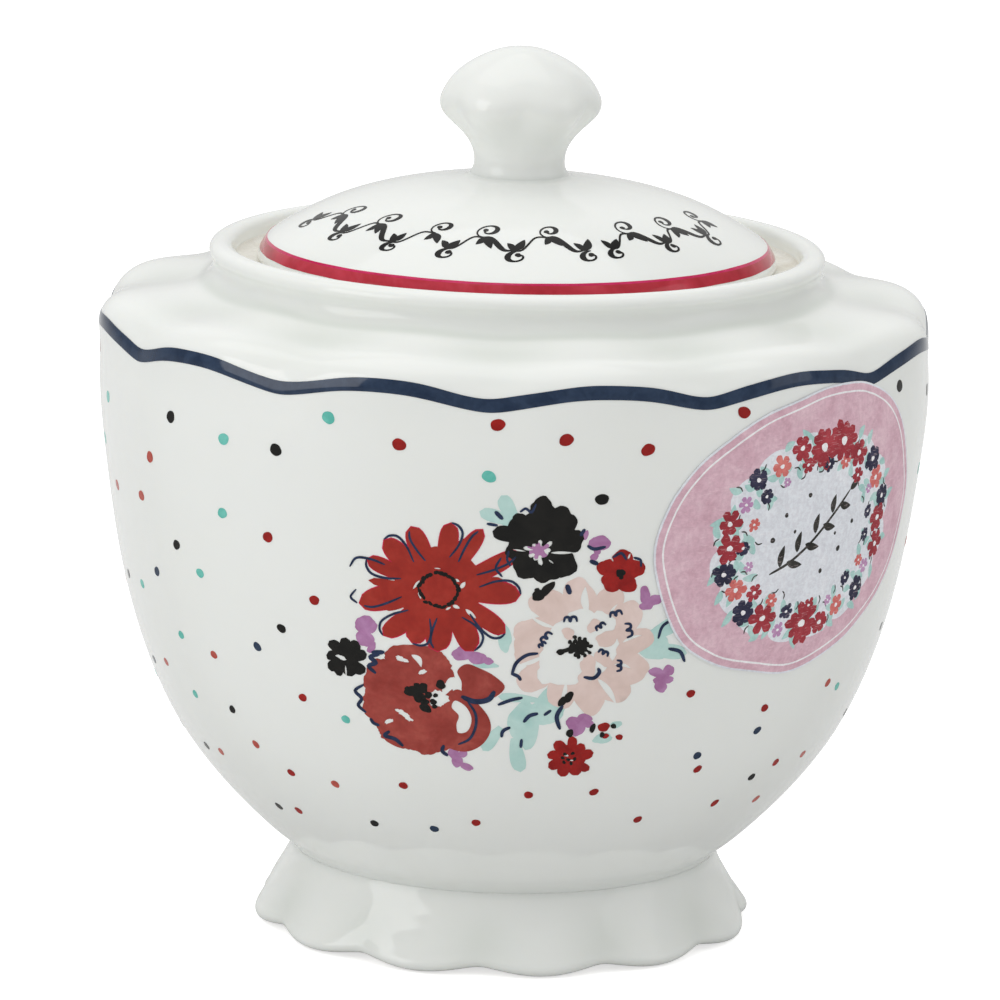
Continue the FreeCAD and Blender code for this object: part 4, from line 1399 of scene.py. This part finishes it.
def wreath():
    """Two rings of flowers with leaves and pen ticks between them, by ink."""
    rng = random.Random(23)
    art = defaultdict(list)
    for ring, (count, share, zigzag, size, leaf_share, leaves, kinds) in enumerate(RINGS):
        for k in range(count):
            angle = spin(k + 0.5 * ring, count) + rng.uniform(-0.03, 0.03)
            x, y = on_medal(share + (zigzag if k % 2 else -zigzag), angle)
            kind = kinds[k % len(kinds)]
            radius = FLOWER_R[kind] * size * rng.uniform(0.88, 1.12)
            if ring == 0 and k in (5, 6, 18):
                kind, radius = "red", 3.3
            petals = 10 if radius > 3 else (7 if kind == "navy" else 6)
            for j in range(petals):
                heading = rng.uniform(-0.12, 0.12) + spin(j, petals)
                art[kind].append(petal(x, y, heading, 0.15, radius * rng.uniform(0.82, 1.1),
                                       radius * (0.55 if petals > 7 else 0.8), 0.05, 5.0, 8))
            art["heart"].append(blob(x, y, 0.20 * radius, 0.18 * radius, 700 + k + 60 * ring,
                                     0.15, 0.0, 0.0, 12))
            for j in range(leaves):
                turn = angle + math.pi / count + rng.uniform(-0.08, 0.08)
                start = on_medal(leaf_share + 0.085 * j, turn)
                heading = turn + rng.uniform(-1.5, 1.5)
                art["mint"].append(leaf(*start, heading, rng.uniform(1.8, 2.8), 1.1, 0.2))
                if rng.random() < 0.45:
                    heading = rng.uniform(0, 6.283)
                    tick = [start, polar(*start, 0.7, heading), polar(*start, 1.3, heading + 0.4)]
                    art["pen"] += stroke(tick, 0.22, count=3, taper=0.3, blunt=0.5)
    return art


def sprig():
    """A slanting stem with leaves on both sides and loose berries round it."""
    stem = [(-8, -4.6), (-4.4, -3.2), (-0.6, -0.8), (3.4, 2.6), (6.8, 5.8)]
    out = stroke([(MEDAL_X + x, MEDAL_Y + y) for x, y in stem], 0.42, count=7, taper=0.2,
                 blunt=0.4)
    # share of the stem's length, side
    for t, side in ((0.12, 1), (0.2, -1), (0.32, 1), (0.42, -1), (0.54, 1), (0.64, -1),
                    (0.76, 1), (0.86, -1), (1.0, 0)):
        out.append(leaf(MEDAL_X - 8.0 + 14.8 * t, MEDAL_Y - 4.6 + 10.4 * t ** 1.2,
                        0.6 + side * 0.85, 3.3 * (1 - 0.22 * t), 1.15, 0.2 * side))
    for x, y, radius in ((-8.2, 0.4, 0.42), (-6.2, 3.8, 0.34), (5.6, -2.6, 0.42),
                         (2.2, -5.4, 0.36), (8.2, 1.0, 0.34), (-2.0, 6.2, 0.36),
                         (-4.2, 1.2, 0.26), (4.4, -0.2, 0.26)):
        out.append(blob(MEDAL_X + x, MEDAL_Y + y, radius, radius, int(100 * (x + 20)), 0.1,
                        0.0, 0.0, 12))
    return out


art = wreath()
label_piece("label_leaves", art["mint"], 0.034, label_ink["mint"])
for kind, lift in (("coral", 0.038), ("lilac", 0.040), ("navy", 0.042), ("red", 0.044)):
    label_piece(f"label_{kind}_flowers", art[kind], lift, label_ink[kind])
label_piece("label_flower_hearts", art["heart"], 0.050, paper_line)
label_piece("label_sprig", art["pen"] + sprig(), 0.036, label_ink["pen"])

# ---- Stage: pale floor, dim room, three softboxes and the camera. Sizes in metres.
FLOOR_HALF, FLOOR_Z = 3.0, -0.0002
FLOOR_GLOW = 0.64               # lights the floor up to white where the camera sees it
ROOM_FILL = 1.38                # room strength for all but mirrored rays
MIRROR_NEAR, MIRROR_FAR = 0.50, 1.8     # room strength in reflections, front and back


def floor_material():
    mat = bpy.data.materials.new("floor_white")
    nodes = Nodes(mat)
    plain = nodes.ramp(nodes.noise(scale=3.0), (0.3, 0.80), (0.7, 0.83))
    # reflections see a dark floor that brightens for rays running level toward the back
    incoming = nodes.node("NewGeometry").outputs["Incoming"]
    way = nodes.node("SeparateXYZ", {0: incoming}).outputs["Y"]
    mirrored = nodes.ramp(nodes.times(way, -1.0), (0.55, 0.28), (0.93, 0.80))
    nodes.finish("Principled BSDF", {
        "Base Color": nodes.mix(nodes.ray("Is Glossy Ray"), plain, mirrored),
        "Roughness": 0.85,
        "Specular IOR Level": 0.2,
        "Emission Color": (1.0, 1.0, 1.0),
        "Emission Strength": nodes.times(nodes.ray("Is Camera Ray"), FLOOR_GLOW),
    })
    return mat


def build_floor():
    mesh = bpy.data.meshes.new("floor")
    corners = [(-1, -1), (1, -1), (1, 1), (-1, 1)]
    mesh.from_pydata([(x * FLOOR_HALF, y * FLOOR_HALF, FLOOR_Z) for x, y in corners], [],
                     [(0, 1, 2, 3)])
    floor = bpy.data.objects.new("floor", mesh)
    bpy.context.scene.collection.objects.link(floor)
    mesh.materials.append(floor_material())
    floor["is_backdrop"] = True


def build_world():
    """A dim room with a lighter ceiling, darker in reflections except toward the back."""
    world = bpy.data.worlds.new("studio")
    bpy.context.scene.world = world
    nodes = Nodes(world, "Generated")
    way = nodes.node("SeparateXYZ", {0: nodes.coords})
    tone = nodes.ramp(way.outputs["Z"], (0.0, (0.37, 0.37, 0.367)),
                      (0.35, (0.455, 0.457, 0.455)), (1.0, (0.75, 0.75, 0.748)))
    mirrored = nodes.node("MapRange", {
        "Value": way.outputs["Y"], "From Min": 0.50, "From Max": 0.98,
        "To Min": MIRROR_NEAR, "To Max": MIRROR_FAR}, interpolation_type="SMOOTHSTEP")
    strength = nodes.between(nodes.ray("Is Glossy Ray"), low=ROOM_FILL,
                             high=mirrored.outputs["Result"])
    nodes.finish("Background", {"Color": tone, "Strength": strength})


def area_light(name, location, target, width, height, power):
    light = bpy.data.lights.new(name, "AREA")
    light.energy = power
    light.shape = "RECTANGLE"
    light.size, light.size_y = width, height
    ob = bpy.data.objects.new(name, light)
    bpy.context.scene.collection.objects.link(ob)
    ob.location = location
    ob.rotation_mode = "QUATERNION"
    ob.rotation_quaternion = (Vector(target) - Vector(location)).to_track_quat("-Z", "Y")


def build_camera(location, pitch, roll, yaw):
    """Long lens in front of the bowl, looking toward +Y. Angles in degrees, pitch downward."""
    data = bpy.data.cameras.new("camera")
    camera = bpy.data.objects.new("camera", data)
    bpy.context.scene.collection.objects.link(camera)
    data.sensor_width = 36.0
    data.lens = 251.17
    data.clip_start, data.clip_end = 0.01, 20.0
    pitch, roll, yaw = math.radians(pitch), math.radians(roll), math.radians(yaw)
    forward = Vector((-math.sin(yaw) * math.cos(pitch), math.cos(yaw) * math.cos(pitch),
                      -math.sin(pitch)))
    right = Vector((math.cos(yaw), math.sin(yaw), 0.0))
    axes = Matrix((right, right.cross(forward), -forward)).transposed().to_4x4()
    matrix = axes @ Matrix.Rotation(roll, 4, "Z")
    matrix.translation = location
    camera.matrix_world = matrix
    bpy.context.scene.camera = camera


build_floor()
build_world()
area_light("softbox_left", location=(-0.85, -0.50, 0.40), target=(0, 0, 0.07),
           width=0.55, height=0.75, power=2.2)
area_light("softbox_right", location=(0.9, -0.25, 0.38), target=(0, 0, 0.07),
           width=0.45, height=0.75, power=0.6)
area_light("softbox_top", location=(-0.1, 0.15, 0.95), target=(0, 0, 0.05),
           width=0.9, height=0.9, power=1.30)
build_camera(location=(0.0, -0.99241, 0.26811 + DATUM * MM), pitch=11.776, roll=1.339,
             yaw=0.0956)
bpy.context.scene.view_settings.view_transform = "Standard"

# ---- Size table
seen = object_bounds()
({"cad": [list(cad_box[0]), list(cad_box[1])],
           "visual": [list(seen[0]), list(seen[1])]})
